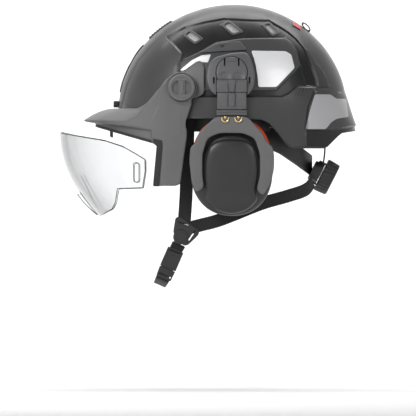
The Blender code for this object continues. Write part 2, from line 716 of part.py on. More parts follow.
def make_ratchet():
    low, high = -8.4, -0.8
    outline = rounded([(-31, -9), (31, -9), (31, 9), (18, 13), (-18, 13), (-31, 9)], 5, 3)
    rear = [ratchet_frame(low, aside, up) for aside, up in outline]
    face = [ratchet_frame(high, aside, up) for aside, up in outline]
    housing = loft([rear, face])
    carve(housing, rod(ratchet_frame(-6.6, 0, 0), ratchet_frame(2, 0, 0), 7.0, 24))
    carve(housing, block((80, -40, -190), (99.4, 40, -130)))
    finish(housing, "ratchet_housing", "dark", RATCHET_CENTRE)
    pinion = rod(ratchet_frame(-6.2, 0, 0), ratchet_frame(-0.4, 0, 0), 5.6, 12)
    finish(pinion, "ratchet_pinion", "grey", RATCHET_CENTRE)
    knob = rod(ratchet_frame(0, 0, 0), ratchet_frame(RATCHET_KNOB_DEPTH, 0, 0), RATCHET_KNOB_RADIUS, 40,
               RATCHET_KNOB_RADIUS - 1.5)
    finish(knob, "ratchet_knob", "dark", RATCHET_CENTRE)
    for label, side in SIDES.items():
        route = [(114, side * 27, -118), (114, side * 27, -132), (113, side * 25, -150)]
        hanger = webbing(route, lambda share: Vector((0, 1, 0)), 8.0, 1.4)
        finish(hanger, f"nape_hanger_{label}", "web")


# ---------------------------------------------------------------- straps and buckle

def along_x(_share):
    return Vector((1, 0, 0))


def along_z(_share):
    return Vector((0, 0, 1))


def buckle_place(down, across, aside):
    """A place on the left buckle: down its axis, across it, and aside from its middle plane."""
    return BUCKLE_TOP + BUCKLE_AXIS * down + BUCKLE_ACROSS * across + Vector((0, aside - BUCKLE_Y, 0))


def buckle_block(down, across, aside):
    sections = [[buckle_place(d, a, s) for a, s in ((across[0], aside[0]), (across[1], aside[0]),
                                                    (across[1], aside[1]), (across[0], aside[1]))]
                for d in down]
    return loft(sections)


def make_straps():
    for label, side in SIDES.items():
        front = webbing([(-50, side * 80, -92), (-51, side * 77.5, -140), (-52.5, side * 75.5, -180),
                         (-55, side * 73, -211)], along_x)
        finish(front, f"front_strap_{label}", "web")
        rear = webbing([(-35.4, side * 72.5, -225.5), (-10, side * 73.5, -217.5), (37, side * 70, -199),
                        (68, side * 60, -190), (93, side * 44, -183)], along_z)
        finish(rear, f"rear_strap_{label}", "web")
        divider = side_plate(side, rounded(DIVIDER, 4.0, 3), 69.5, 75.5)
        fuse(divider, disc(side, -59, -238.5, 9.0, (68.8, 76.6), 28))
        finish(divider, f"strap_divider_{label}", "dark")


def make_buckle():
    lower = webbing([buckle_place(-4.8, 0, -1), buckle_place(-2.6, 0, -0.4), buckle_place(-0.5, 0, 0)],
                    lambda share: BUCKLE_ACROSS)
    finish(lower, "lower_strap", "web")
    half = BUCKLE_WIDTH / 2
    thick = BUCKLE_HALF_THICKNESS
    female = buckle_block((0, FEMALE_LENGTH), (-half, half), (-thick, thick))
    carve(female, buckle_block((5, FEMALE_LENGTH + 2), (-7.6, 7.6), (-2.8, 2.8)))
    finish(female, "buckle_socket", "dark")
    male = buckle_block((FEMALE_LENGTH + 0.6, FEMALE_LENGTH + MALE_LENGTH), (-half, half), (-thick, thick))
    fuse(male, buckle_block((6, FEMALE_LENGTH + 3), (-7, 7), (-2.3, 2.3)))
    carve(male, buckle_block((10, FEMALE_LENGTH - 2), (-3.2, 3.2), (-4, 4)))
    finish(male, "buckle_plug", "dark", buckle_place(FEMALE_LENGTH, 0, 0))
    end = buckle_place(FEMALE_LENGTH + MALE_LENGTH + 1.0, 0, 0)
    route = [end, end + BUCKLE_AXIS * 2.5 + Vector((0, 1.5, 0)), (-83.0, -50, -293.6), (-84.4, 0, -295.6),
             (-84.0, 42, -294.8), (-80.5, 62, -286), (-70, 70, -264), (-61.2, 71.8, -250.3)]
    finish(webbing(route, lambda share: BUCKLE_ACROSS), "chin_strap", "web", buckle_place(FEMALE_LENGTH, 0, 0))


def build():
    make_shell()
    make_liner()
    make_shell_trim()
    make_goggle_clip()
    for label, side in SIDES.items():
        make_muff_mount(label, side)
        make_release_button(label, side)
        make_arm(label, side)
        make_slider(label, side)
        make_yoke(label, side)
        make_cup(label, side)
        make_bracket(label, side)
        make_hub_knob(label, side)
    make_visor_frame()
    make_lens()
    make_headband()
    make_crown()
    make_ratchet()
    make_straps()
    make_buckle()


clear_scene()
PARTS = new_collection("forestry_helmet")
build()
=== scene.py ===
"""Looks of the forestry helmet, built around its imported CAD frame.

Places are in millimetres in the CAD's own frame and become metres when a mesh is made:
the origin is the underside of the crown pad, +Z up, the front faces -X, the wearer's left is -Y.
"""
import json
import math

import bmesh
import bpy
from mathutils import Matrix, Vector

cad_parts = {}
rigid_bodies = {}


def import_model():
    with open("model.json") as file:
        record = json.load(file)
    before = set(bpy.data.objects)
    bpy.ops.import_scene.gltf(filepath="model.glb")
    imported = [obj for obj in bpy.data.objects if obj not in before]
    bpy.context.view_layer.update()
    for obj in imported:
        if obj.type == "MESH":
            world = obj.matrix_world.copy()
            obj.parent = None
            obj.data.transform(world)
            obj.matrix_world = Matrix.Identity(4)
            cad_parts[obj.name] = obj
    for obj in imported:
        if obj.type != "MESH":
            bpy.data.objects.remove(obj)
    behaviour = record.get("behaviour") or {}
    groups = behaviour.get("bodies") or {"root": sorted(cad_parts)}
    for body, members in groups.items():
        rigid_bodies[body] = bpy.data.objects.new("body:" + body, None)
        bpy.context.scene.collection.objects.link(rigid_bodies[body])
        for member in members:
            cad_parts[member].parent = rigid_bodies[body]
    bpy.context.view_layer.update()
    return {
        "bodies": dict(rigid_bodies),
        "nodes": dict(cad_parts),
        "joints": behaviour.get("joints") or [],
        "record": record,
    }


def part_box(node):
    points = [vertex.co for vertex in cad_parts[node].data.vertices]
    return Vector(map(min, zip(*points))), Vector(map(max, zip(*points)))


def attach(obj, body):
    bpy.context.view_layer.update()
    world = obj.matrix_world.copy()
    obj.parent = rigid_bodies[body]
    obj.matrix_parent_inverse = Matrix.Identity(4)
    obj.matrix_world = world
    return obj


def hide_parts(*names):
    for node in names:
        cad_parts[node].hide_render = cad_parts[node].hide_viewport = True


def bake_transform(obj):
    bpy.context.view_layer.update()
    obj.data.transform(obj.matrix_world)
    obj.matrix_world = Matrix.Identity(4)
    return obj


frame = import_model()

MM = 0.001
SIDES = {"left": -1, "right": 1}

# The shell's dome, as the CAD has it.
SHELL_CENTRE_X = 5.0
SHELL_EQUATOR_Z = -90.0
SHELL_FRONT_REACH = 136.5
SHELL_REAR_REACH = 133.0
SHELL_HALF_WIDTH = 106.0
SHELL_HEIGHT = 127.4
SHELL_PLAN_POWER = 2.3
SHELL_WALL_DEPTH = 60.0
SHELL_THICKNESS = 2.8
REAR_FLARE = 12.0
REAR_FLARE_TOP_Z = -66.0
REAR_FLARE_DEPTH = 43.0
RIM = [(-160, -86), (-110, -90), (-60, -96.5), (38, -98.5), (47, -103), (58, -116),
       (66, -127), (73, -131.4), (115, -131.4), (129, -117.5), (134, -113.5), (156, -110)]
VENTS = [[(-54, 3), (-48.5, 7.8), (-35, -2), (-42, -6.3)],
         [(-8.2, 14.5), (-2, 18.8), (12.2, 7), (3.5, 4.2)],
         [(40.2, 15), (46, 17.4), (57.2, 6.2), (50.8, 3.2)]]

# Facets moulded into the shell, seen from the side: outline, how far they stand above the dome, and how much
# painted shade darkens each, standing in for how its slope catches the light.
CREST_RISE = 2.6
FACETS = [
    ("front", [(-140, -140), (-131, -90), (-122, -56), (-108.8, -27.6), (-84.4, -2.4), (-75.6, 1.2),
               (-75.6, -0.4), (-57.2, -20.2), (-60, -29.4), (-66, -140)], 1.2, 0.0),
    ("shoulder", [(-75.6, 1.2), (-53.4, 12.7), (-30.5, 18.5), (-7.4, 22.6), (23.2, 21), (46, 20.5),
                  (60, 12.5), (69.6, 6.4), (79, -1.5), (88.5, -13), (96, -30), (103, -50), (104.4, -60),
                  (90.5, -58.6), (83.5, -33.6), (78.5, -14.4), (73, -5.5), (66.8, -1.1), (13.2, -2.4),
                  (-16.8, -7.2), (-36.6, -18.7), (-60, -29.4), (-57.2, -20.2), (-75.6, -0.4)], -0.9, 1.0),
    ("panel", [(-60, -29.4), (-36.6, -18.7), (-16.8, -7.2), (13.2, -2.4), (66.8, -1.1), (73, -5.5),
               (78.5, -14.4), (83.5, -33.6), (76, -42.5), (55, -63.4), (-60, -63.4)], 0.3, 0.15),
    ("channel", [(83.5, -33.6), (90.5, -58.6), (80, -59.5), (70, -67.5), (62, -71.5), (-60, -71.5),
                 (-60, -63.4), (55, -63.4), (76, -42.5)], -0.9, 1.0),
    ("band", [(-66, -71.5), (62, -71.5), (70, -67.5), (80, -59.5), (104.4, -60), (100, -66), (93, -84),
              (89, -110), (90, -140), (-66, -140)], 1.0, 0.3),
    ("sliver", [(88.5, -13), (94.8, -15), (100.8, -26), (103.2, -31.2), (109.2, -37.2), (115.2, -48),
                (118.8, -60), (104.4, -60), (103, -50), (96, -30)], 0.8, 0.35),
    ("rear", [(98, -62), (122, -59.5), (127, -67), (160, -64.5), (160, -106), (147, -106), (125, -111.5),
              (91, -112), (93, -84), (100, -66)], 3.1, 0.25),
    ("tail", [(90, -110), (91, -112), (125, -111.5), (147, -106), (160, -106), (160, -140), (90, -140)],
     0.2, 1.0)]
FACET_EDGE = 1.3

SIDE_STICKER = [(25, -16.5), (66, -17), (73, -21), (77, -37), (55, -60), (33.6, -60), (32.4, -46),
                (29.5, -29)]
REAR_STICKER = [(101, -68.5), (120, -68.5), (127, -73.5), (139, -73.5), (142, -95), (127, -97.5),
                (121, -101.5), (114, -110), (90, -110), (95, -88)]
CRESCENT_STICKER = [(-60, -40), (-46, -28), (-34, -22), (-23, -21), (-26.5, -31), (-35, -26.6), (-42, -30),
                    (-55, -40)]
ACCESSORY_COVER = [(-36.5, -18.8), (-17, -8.4), (-10, -6.4), (12, -5.2), (20.5, -15.6), (-12, -17.4)]

# Ear muffs and visor, as in the CAD.
ARM_X = 1.8
BUTTON_Z = -42.6
BUTTON_RADIUS = 18.6
MUFF_MOUNT = [(-29.4, -49), (-27, -34), (-19, -24.5), (2, -19), (20.5, -18.2), (26.6, -31), (29.8, -46),
              (28, -62), (20.4, -71), (-17, -71), (-26.5, -62)]
YOKE = [(-17, -95.2), (20, -95.2), (30, -105.5), (40, -118), (43, -125.5), (50.5, -131), (52.5, -142),
        (52, -160), (46, -178), (38.9, -189.5), (31, -183), (35.2, -165), (35.2, -140), (29, -121),
        (15, -115), (-13, -115), (-27, -121), (-33, -140), (-33, -165), (-31, -180), (-40.7, -186),
        (-46, -172), (-48.6, -150), (-47.5, -131.5), (-40.4, -126), (-39.4, -117), (-28, -105)]
CUP_Z = -157.0
CUP_SHELL_Z = -159.4
CUP_DROP = 4.5
CUP_FACE = [(-30.4, -150), (-26, -131), (-16, -123.5), (1.8, -122), (20, -123.5), (29.6, -131), (33, -150),
            (32.8, -168), (29.5, -183), (33.4, -194), (21, -207), (1.8, -212), (-17.5, -207), (-29.6, -194),
            (-28.6, -181), (-30.6, -168)]
VISOR_BRACKET = [(-55, -41), (-42, -31), (-36, -27.8), (-30.4, -34), (-30.6, -69), (-42, -73),
                 (-60, -77), (-71, -66), (-68, -52)]
WING = [(-44.4, -76.8), (-53.5, -104), (-50.6, -114), (-59, -174.8), (-65, -177.6), (-91.4, -177.6),
        (-87.2, -130), (-93, -126), (-93, -104), (-76, -62), (-58, -62)]
PEAK_INNER = {"centre_x": SHELL_CENTRE_X, "reach": 148.5, "half_width": 108.0}
PEAK_TIP = {"centre_x": -58.0, "reach": 117.0, "half_width": 109.5}
PEAK_SKIRT = {"centre_x": -58.0, "reach": 103.0, "half_width": 107.5}
PEAK_INNER_HEIGHTS = [(-143.5, -84.6), (-110, -84.4), (-99, -78), (-80, -58), (-58, -50)]
PEAK_CREASE_HEIGHTS = [(-175, -97.6), (-140, -99.8), (-125, -101), (-113.4, -96.5), (-95.8, -75),
                       (-77.4, -51.4), (-58, -42)]
PEAK_RIDGE_HEIGHTS = [(-175, -97.8), (-119, -105), (-58, -114)]
PEAK_SKIRT_HEIGHTS = [(-161, -106.5), (-90, -126.6), (-58, -130)]
PEAK_WALL = 2.6
WING_Y = (106.0, 108.8)
RING_FACE_Y = 110.4
LENS_OUTLINE = [(-206, -113.5), (-198, -113.5), (-128, -130), (-114, -137.8), (-99, -145), (-103.5, -180),
                (-106, -181.4), (-134, -182), (-136, -197), (-139, -205), (-155, -214.2), (-206, -214.2)]
LENS_SLOT = [(-115, -150), (-108.8, -150), (-108.8, -173), (-115, -173)]
LENS_REAR_X = -98.0
LENS_FRONT_X = -203.5
LENS_SWEEP_BACK = 48.7
LENS_HALF_WIDTH = 99.0
LENS_THICKNESS = 1.6

# Chin strap and buckle.
WEB_WIDTH = 15.4
WEB_THICKNESS = 1.6
BUCKLE_AXIS = Vector((-0.4, 0.0, -0.9165))
BUCKLE_ACROSS = Vector((0.9165, 0.0, -0.4))
BUCKLE_TOP = Vector((-64.8, -70.0, -253.8))
FEMALE_LENGTH = 24.0
MALE_LENGTH = 13.4
DIVIDER = [(-65.2, -215.5), (-60, -214), (-37, -231), (-37.5, -236), (-50.5, -248.5), (-56, -249),
           (-68.5, -235)]

# Nape ratchet.
KNOB_TILT = math.radians(27.0)
RATCHET_AXIS = Vector((math.cos(KNOB_TILT), 0.0, -math.sin(KNOB_TILT)))
RATCHET_UP = Vector((math.sin(KNOB_TILT), 0.0, math.cos(KNOB_TILT)))


def joint_place(name):
    """A joint's position in millimetres."""
    joint = next(joint for joint in frame["record"]["behaviour"]["joints"] if joint["name"] == name)
    return Vector(joint["pos_m"]) / MM


HUB = joint_place("visor_flip")
RATCHET_CENTRE = joint_place("ratchet_turn")


# ---------------------------------------------------------------- materials

class Look:
    """A material's node tree, with short names for what the looks here need."""

    def __init__(self, name, colour, roughness, metallic=0.0, **sockets):
        self.material = bpy.data.materials.new(name)
        self.material.use_nodes = True
        self.tree = self.material.node_tree
        self.shader = self.tree.nodes["Principled BSDF"]
        self.colour = colour
        self.shader.inputs["Base Color"].default_value = (*colour, 1.0)
        self.shader.inputs["Roughness"].default_value = roughness
        self.shader.inputs["Metallic"].default_value = metallic
        for socket, value in sockets.items():
            self.shader.inputs[socket.replace("_", " ")].default_value = value
        self.height = None

    def node(self, kind, **values):
        made = self.tree.nodes.new(kind)
        for key, value in values.items():
            if key in made.inputs:
                made.inputs[key].default_value = value
            else:
                setattr(made, key, value)
        return made

    def link(self, source, target):
        self.tree.links.new(source, target)

    def place(self):
        return self.node("ShaderNodeTexCoord").outputs["Object"]

    def noise(self, scale, detail=3.0):
        made = self.node("ShaderNodeTexNoise", Scale=scale, Detail=detail)
        self.link(self.place(), made.inputs["Vector"])
        return made.outputs["Fac"]

    def ramp(self, source, low, high, start=0.3, end=0.7):
        made = self.node("ShaderNodeMapRange")
        made.inputs["From Min"].default_value = start
        made.inputs["From Max"].default_value = end
        made.inputs["To Min"].default_value = low
        made.inputs["To Max"].default_value = high
        self.link(source, made.inputs["Value"])
        return made.outputs["Result"]

    def vary_colour(self, source, darker, lighter):
        mix = self.node("ShaderNodeMix", data_type="RGBA")
        mix.inputs["A"].default_value = (*[c * darker for c in self.colour], 1.0)
        mix.inputs["B"].default_value = (*[min(1.0, c * lighter) for c in self.colour], 1.0)
        self.link(source, mix.inputs["Factor"])
        self.link(mix.outputs["Result"], self.shader.inputs["Base Color"])

    def vary_roughness(self, source, low, high):
        self.link(self.ramp(source, low, high), self.shader.inputs["Roughness"])

    def painted_facet_shade(self, darker):
        """Painted shade: where the mesh marks a facet as shaded, its colour is this much darker, standing in
        for how the facet's slope catches the light.
        """
        shade = self.node("ShaderNodeAttribute", attribute_name="dark")
        mix = self.node("ShaderNodeMix", data_type="RGBA")
        mix.inputs["B"].default_value = (*[c * darker for c in self.colour], 1.0)
        socket = self.shader.inputs["Base Color"]
        self.link(socket.links[0].from_socket, mix.inputs["A"])
        self.link(shade.outputs["Fac"], mix.inputs["Factor"])
        self.link(mix.outputs["Result"], socket)

    def bump(self, source, strength, distance):
        made = self.node("ShaderNodeBump", Strength=strength, Distance=distance)
        self.link(source, made.inputs["Height"])
        if self.height is not None:
            self.link(self.height, made.inputs["Normal"])
        self.height = made.outputs["Normal"]
        self.link(self.height, self.shader.inputs["Normal"])


def moulded(name, colour, roughness, grain=0.12, **sockets):
    """Moulded plastic: fine spark-eroded grain, slight haze and a little colour drift."""
    look = Look(name, colour, roughness, **sockets)
    haze = look.noise(22.0)
    look.vary_colour(haze, 0.88, 1.14)
    look.vary_roughness(haze, roughness - 0.05, roughness + 0.07)
    look.bump(look.noise(2600.0, 2.0), grain, 0.00012)
    return look.material


def gloss(name, colour):
    """Lacquered shell plastic: deep colour under a clear coat with faint orange peel and dust; marked facets
    get painted shade for how their slopes catch the light.
    """
    look = Look(name, colour, 0.3, Coat_Weight=0.12, Coat_Roughness=0.12, Specular_IOR_Level=0.3)
    drift = look.noise(9.0)
    look.vary_colour(drift, 0.92, 1.1)
    # Painted shade: facets marked in the mesh are darkened to stand in for how their slopes catch the light.
    look.painted_facet_shade(0.12)
    look.vary_roughness(look.noise(60.0, 5.0), 0.3, 0.4)
    look.bump(look.noise(170.0, 1.0), 0.015, 0.0003)
    return look.material


def woven(name, colour, pitch=1.1):
    """Webbing: two crossed thread waves give the weave, with fuzz and worn threads."""
    look = Look(name, colour, 0.85, Sheen_Weight=0.1, Sheen_Roughness=0.5)
    heights = []
    for direction in ("X", "Z"):
        wave = look.node("ShaderNodeTexWave", wave_type="BANDS", bands_direction=direction,
                         Scale=0.31 / (pitch * MM), Distortion=0.6)
        look.link(look.place(), wave.inputs["Vector"])
        heights.append(wave.outputs["Fac"])
    product = look.node("ShaderNodeMath", operation="MULTIPLY")
    look.link(heights[0], product.inputs[0])
    look.link(heights[1], product.inputs[1])
    look.vary_colour(product.outputs["Value"], 0.7, 1.7)
    look.bump(product.outputs["Value"], 0.6, 0.0004)
    look.bump(look.noise(1500.0), 0.2, 0.0002)
    return look.material


def soft_skin(name, colour):
    """Soft leather-like film over foam: fine wrinkled grain and a dull sheen."""
    look = Look(name, colour, 0.55, Sheen_Weight=0.1)
    cells = look.node("ShaderNodeTexVoronoi", Scale=900.0, feature="DISTANCE_TO_EDGE")
    look.link(look.place(), cells.inputs["Vector"])
    look.bump(cells.outputs["Distance"], 0.35, 0.0004)
    look.vary_colour(look.noise(35.0), 0.8, 1.2)
    look.vary_roughness(look.noise(80.0), 0.48, 0.65)
    return look.material


def beads(name, colour):
    """Expanded foam: rounded cells pressed together."""
    look = Look(name, colour, 0.8)
    cells = look.node("ShaderNodeTexVoronoi", Scale=330.0)
    look.link(look.place(), cells.inputs["Vector"])
    look.vary_colour(cells.outputs["Distance"], 1.2, 0.7)
    look.bump(cells.outputs["Distance"], 0.5, 0.0005)
    return look.material


def reflector(name, colour, roughness):
    """Reflective film: a fine prism grid under a smooth cover."""
    look = Look(name, colour, roughness, metallic=0.35, Coat_Weight=0.4, Coat_Roughness=0.1)
    grid = look.node("ShaderNodeTexVoronoi", Scale=520.0, feature="DISTANCE_TO_EDGE")
    look.link(look.place(), grid.inputs["Vector"])
    look.bump(grid.outputs["Distance"], 0.12, 0.0002)
    look.vary_colour(look.noise(12.0), 0.93, 1.05)
    return look.material


def screen(name, colour):
    """Woven vent screen."""
    look = Look(name, colour, 0.5, metallic=0.2)
    cells = look.node("ShaderNodeTexVoronoi", Scale=620.0, feature="DISTANCE_TO_EDGE")
    look.link(look.place(), cells.inputs["Vector"])
    look.vary_colour(look.ramp(cells.outputs["Distance"], 1.0, 0.0, 0.05, 0.25), 0.55, 1.15)
    look.bump(cells.outputs["Distance"], 0.6, 0.0004)
    return look.material


def metal(name, colour, roughness):
    look = Look(name, colour, roughness, metallic=1.0)
    scratches = look.noise(400.0, 6.0)
    look.vary_roughness(scratches, roughness - 0.06, roughness + 0.12)
    look.vary_colour(look.noise(120.0), 0.85, 1.1)
    look.bump(scratches, 0.06, 0.0002)
    return look.material


def clear_plastic(name):
    """Polycarbonate whose colour is painted darker where it is seen at a slant: painted shade standing in for
    the darker surroundings it reflects there.
    """
    look = Look(name, (0.9, 0.905, 0.91), 0.03, Transmission_Weight=1.0, IOR=1.4)
    # Painted reflection: Layer Weight's facing darkens the base colour towards grazing angles.
    slant = look.node("ShaderNodeLayerWeight", Blend=0.3)
    look.vary_colour(slant.outputs["Facing"], 1.0, 0.3)
    look.vary_roughness(look.noise(30.0), 0.015, 0.05)
    return look.material


SHELL_LOOK = gloss("shell_gloss", (0.052, 0.052, 0.054))
GREY_LOOK = moulded("grey_plastic", (0.098, 0.098, 0.1), 0.44)
ARM_LOOK = moulded("arm_plastic", (0.072, 0.072, 0.075), 0.45)
DARK_LOOK = moulded("dark_plastic", (0.014, 0.014, 0.015), 0.42)
CUP_LOOK = moulded("cup_plastic", (0.016, 0.016, 0.017), 0.36, 0.06)
COVER_LOOK = moulded("cover_plastic", (0.055, 0.055, 0.057), 0.45)
# Near-black edging on the clear shield: painted shade for how its clear edges look dark.
SHIELD_EDGE_SHADE_LOOK = moulded("lens_edge_painted_shade", (0.02, 0.02, 0.022), 0.25, 0.02)
RUBBER_LOOK = moulded("dark_rubber", (0.012, 0.012, 0.013), 0.6)
ORANGE_LOOK = moulded("orange_plastic", (0.55, 0.055, 0.008), 0.4)
WEB_LOOK = woven("webbing", (0.009, 0.009, 0.0095))
PAD_LOOK = soft_skin("padding", (0.02, 0.02, 0.021))
LINER_LOOK = beads("liner_foam", (0.03, 0.03, 0.032))
WHITE_FILM = reflector("white_reflector", (0.7, 0.7, 0.71), 0.4)
GREY_FILM = reflector("grey_reflector", (0.36, 0.36, 0.37), 0.4)
SCREEN_LOOK = screen("vent_screen", (0.4, 0.4, 0.41))
BRASS_LOOK = metal("brass_wire", (0.78, 0.55, 0.28), 0.22)
STEEL_LOOK = metal("steel", (0.5, 0.5, 0.51), 0.3)
RED_LOOK = moulded("red_mark", (0.5, 0.02, 0.02), 0.35)
CLEAR_LOOK = clear_plastic("clear_lens")


# ---------------------------------------------------------------- mesh helpers

def from_bmesh(bm, name="piece"):
    bmesh.ops.recalc_face_normals(bm, faces=bm.faces[:])
    if bm.calc_volume(signed=True) < 0:
        bmesh.ops.reverse_faces(bm, faces=bm.faces[:])
    mesh = bpy.data.meshes.new(name)
    bm.to_mesh(mesh)
    bm.free()
    obj = bpy.data.objects.new(name, mesh)
    bpy.context.scene.collection.objects.link(obj)
    return obj


def apply_modifiers(obj):
    """Make the object's modifiers part of its mesh."""
    bpy.context.view_layer.update()
    depsgraph = bpy.context.evaluated_depsgraph_get()
    mesh = bpy.data.meshes.new_from_object(obj.evaluated_get(depsgraph))
    obj.modifiers.clear()
    obj.data = mesh
    return obj


def with_modifier(obj, kind, **values):
    modifier = obj.modifiers.new(kind.lower(), kind)
    for key, value in values.items():
        setattr(modifier, key, value)
    return apply_modifiers(obj)


def bevelled(obj, width, segments=3, angle=35.0):
    return with_modifier(obj, "BEVEL", width=width * MM, segments=segments, limit_method="ANGLE",
                         angle_limit=math.radians(angle), use_clamp_overlap=True, harden_normals=False)


def combine(body, tools, operation):
    for tool in tools:
        with_modifier(body, "BOOLEAN", operation=operation, object=tool, solver="EXACT")
        bpy.data.objects.remove(tool, do_unlink=True)
    return body


def carve(body, *tools):
    return combine(body, tools, "DIFFERENCE")


def join(*objects):
    """One object from several whose shapes may overlap."""
    bm = bmesh.new()
    for obj in objects:
        bm.from_mesh(obj.data)
    mesh = bpy.data.meshes.new("joined")
    bm.to_mesh(mesh)
    bm.free()
    kept = objects[0]
    kept.data = mesh
    for other in objects[1:]:
        bpy.data.objects.remove(other, do_unlink=True)
    return kept


def finish(obj, name, look, body, replaced=(), sharp=35.0):
    """Name a piece, give it its look and smooth shading, parent it to its body if it has one, and hide the
    CAD parts it replaces.
    """
    obj.name = name
    obj.data.materials.clear()
    obj.data.materials.append(look)
    obj.data.shade_smooth()
    obj.data.set_sharp_from_angle(angle=math.radians(sharp))
    if body:
        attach(obj, body)
    if replaced:
        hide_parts(*replaced)
    return obj


def resample(outline, step):
    """The same outline with a point at least every step."""
    result = []
    points = [Vector(point) for point in outline]
    for start, end in zip(points, points[1:] + points[:1]):
        parts = max(1, math.ceil((end - start).length / step))
        result += [start.lerp(end, part / parts) for part in range(parts)]
    return [(point.x, point.y) for point in result]


def rounded(outline, radius, steps=6):
    points = [Vector(point) for point in outline]
    result = []
    for index, corner in enumerate(points):
        before = points[index - 1] - corner
        after = points[(index + 1) % len(points)] - corner
        reach = min(radius, before.length * 0.48, after.length * 0.48)
        start = corner + before.normalized() * reach
        end = corner + after.normalized() * reach
        for step in range(steps + 1):
            t = step / steps
            result.append((1 - t) ** 2 * start + 2 * t * (1 - t) * corner + t ** 2 * end)
    return [(point.x, point.y) for point in result]


def oval(x, z, half_x, half_z, segments=64):
    turns = [2 * math.pi * index / segments for index in range(segments)]
    return [(x + half_x * math.cos(turn), z + half_z * math.sin(turn)) for turn in turns]


def plate(outline, y_low, y_high):
    """A flat outline in the XZ plane with its thickness along Y."""
    bm = bmesh.new()
    near = [bm.verts.new((x * MM, y_low * MM, z * MM)) for x, z in outline]
    far = [bm.verts.new((x * MM, y_high * MM, z * MM)) for x, z in outline]
    bm.faces.new(near)
    bm.faces.new(far)
    for index in range(len(outline)):
        after = (index + 1) % len(outline)
        bm.faces.new((near[index], near[after], far[after], far[index]))
    return from_bmesh(bm)


def side_plate(side, outline, y_inner, y_outer):
    return plate(outline, side * y_inner, side * y_outer)


def block(low, high):
    bm = bmesh.new()
    bmesh.ops.create_cube(bm, size=1.0)
    low = Vector(low) * MM
    high = Vector(high) * MM
    size = Vector([abs(length) for length in high - low])
    bm.transform(Matrix.Translation((low + high) / 2) @ Matrix.Diagonal(size.to_4d()))
    return from_bmesh(bm)


def side_block(side, x, y, z):
    return block((x[0], side * y[0], z[0]), (x[1], side * y[1], z[1]))


def loft(sections, closed=False):
    bm = bmesh.new()
    rings = [[bm.verts.new(Vector(point) * MM) for point in section] for section in sections]
    count = len(rings[0])
    pairs = list(zip(rings, rings[1:]))
    if closed:
        pairs.append((rings[-1], rings[0]))
    for ring, following in pairs:
        for index in range(count):
            after = (index + 1) % count
            bm.faces.new((ring[index], ring[after], following[after], following[index]))
    if not closed:
        bm.faces.new(rings[0])
        bm.faces.new(rings[-1])
    return from_bmesh(bm)


def turned(start, axis, profile, segments=72, flute=None):
    """A turned body: profile gives (distance along the axis, radius); flute(turn) scales the radius."""
    axis = Vector(axis).normalized()
    across = axis.orthogonal().normalized()
    other = axis.cross(across)
    sections = []
    for along, radius in profile:
        ring = []
        for index in range(segments):
            turn = 2 * math.pi * index / segments
            reach = radius * (flute(turn, along) if flute else 1.0)
            spoke = across * math.cos(turn) + other * math.sin(turn)
            ring.append(Vector(start) + axis * along + spoke * reach)
        sections.append(ring)
    return loft(sections)


def side_disc(side, x, z, radius, y, edge=0.8, segments=72):
    """A disc that faces sideways with its outer edge rounded."""
    depth = y[1] - y[0]
    profile = [(0, radius), (depth - edge, radius), (depth - edge * 0.3, radius - edge * 0.3),
               (depth, radius - edge)]
    return turned((x, side * y[0], z), (0, side, 0), profile, segments)


def tube(points, radius, resolution=4, cyclic=False):
    curve = bpy.data.curves.new("tube", "CURVE")
    curve.dimensions = "3D"
    curve.bevel_depth = radius * MM
    curve.bevel_resolution = resolution
    curve.use_fill_caps = not cyclic
    spline = curve.splines.new("POLY")
    spline.points.add(len(points) - 1)
    for point, place in zip(spline.points, points):
        point.co = (*(Vector(place) * MM), 1.0)
    spline.use_cyclic_u = cyclic
    line = bpy.data.objects.new("tube", curve)
    bpy.context.scene.collection.objects.link(line)
    bpy.context.view_layer.update()
    mesh = bpy.data.meshes.new_from_object(line.evaluated_get(bpy.context.evaluated_depsgraph_get()))
    bpy.data.objects.remove(line, do_unlink=True)
    bm = bmesh.new()
    bm.from_mesh(mesh)
    bmesh.ops.remove_doubles(bm, verts=bm.verts[:], dist=1e-6)
    return from_bmesh(bm)


def smooth_path(points, per_span=8):
    points = [Vector(point) for point in points]
    ends = [2 * points[0] - points[1]] + points + [2 * points[-1] - points[-2]]
    path = []
    for a, b, c, d in zip(ends, ends[1:], ends[2:], ends[3:]):
        for step in range(per_span):
            t = step / per_span
            path.append(0.5 * ((2 * b) + (c - a) * t + (2 * a - 5 * b + 4 * c - d) * t * t
                               + (3 * b - a - 3 * c + d) * t ** 3))
    path.append(points[-1])
    return path


def webbing(route, across, width=WEB_WIDTH, thickness=WEB_THICKNESS):
    """Flat webbing with rounded selvedges and a slightly sunk middle."""
    path = smooth_path(route)
    profile = [(-1.0, -0.25), (-0.96, -0.85), (-0.85, -1.0), (-0.5, -0.86), (0.0, -0.8), (0.5, -0.86),
               (0.85, -1.0), (0.96, -0.85), (1.0, -0.25), (1.0, 0.25), (0.96, 0.85), (0.85, 1.0), (0.5, 0.86),
               (0.0, 0.8), (-0.5, 0.86), (-0.85, 1.0), (-0.96, 0.85), (-1.0, 0.25)]
    sections = []
    for index, centre in enumerate(path):
        tangent = (path[min(index + 1, len(path) - 1)] - path[max(index - 1, 0)]).normalized()
        side = across(index / (len(path) - 1))
        side = (side - tangent * side.dot(tangent)).normalized() * width / 2
        face = tangent.cross(side).normalized() * thickness / 2
        sections.append([centre + side * u + face * v for u, v in profile])
    return loft(sections)


def interpolate(table, value):
    """A straight-line reading of a short table of (position, result) pairs."""
    if value <= table[0][0]:
        return table[0][1]
    for (low, first), (high, second) in zip(table, table[1:]):
        if value <= high:
            return first + (second - first) * (value - low) / (high - low)
    return table[-1][1]


def step_up(value, low, high):
    share = min(1.0, max(0.0, (value - low) / (high - low)))
    return share * share * (3 - 2 * share)


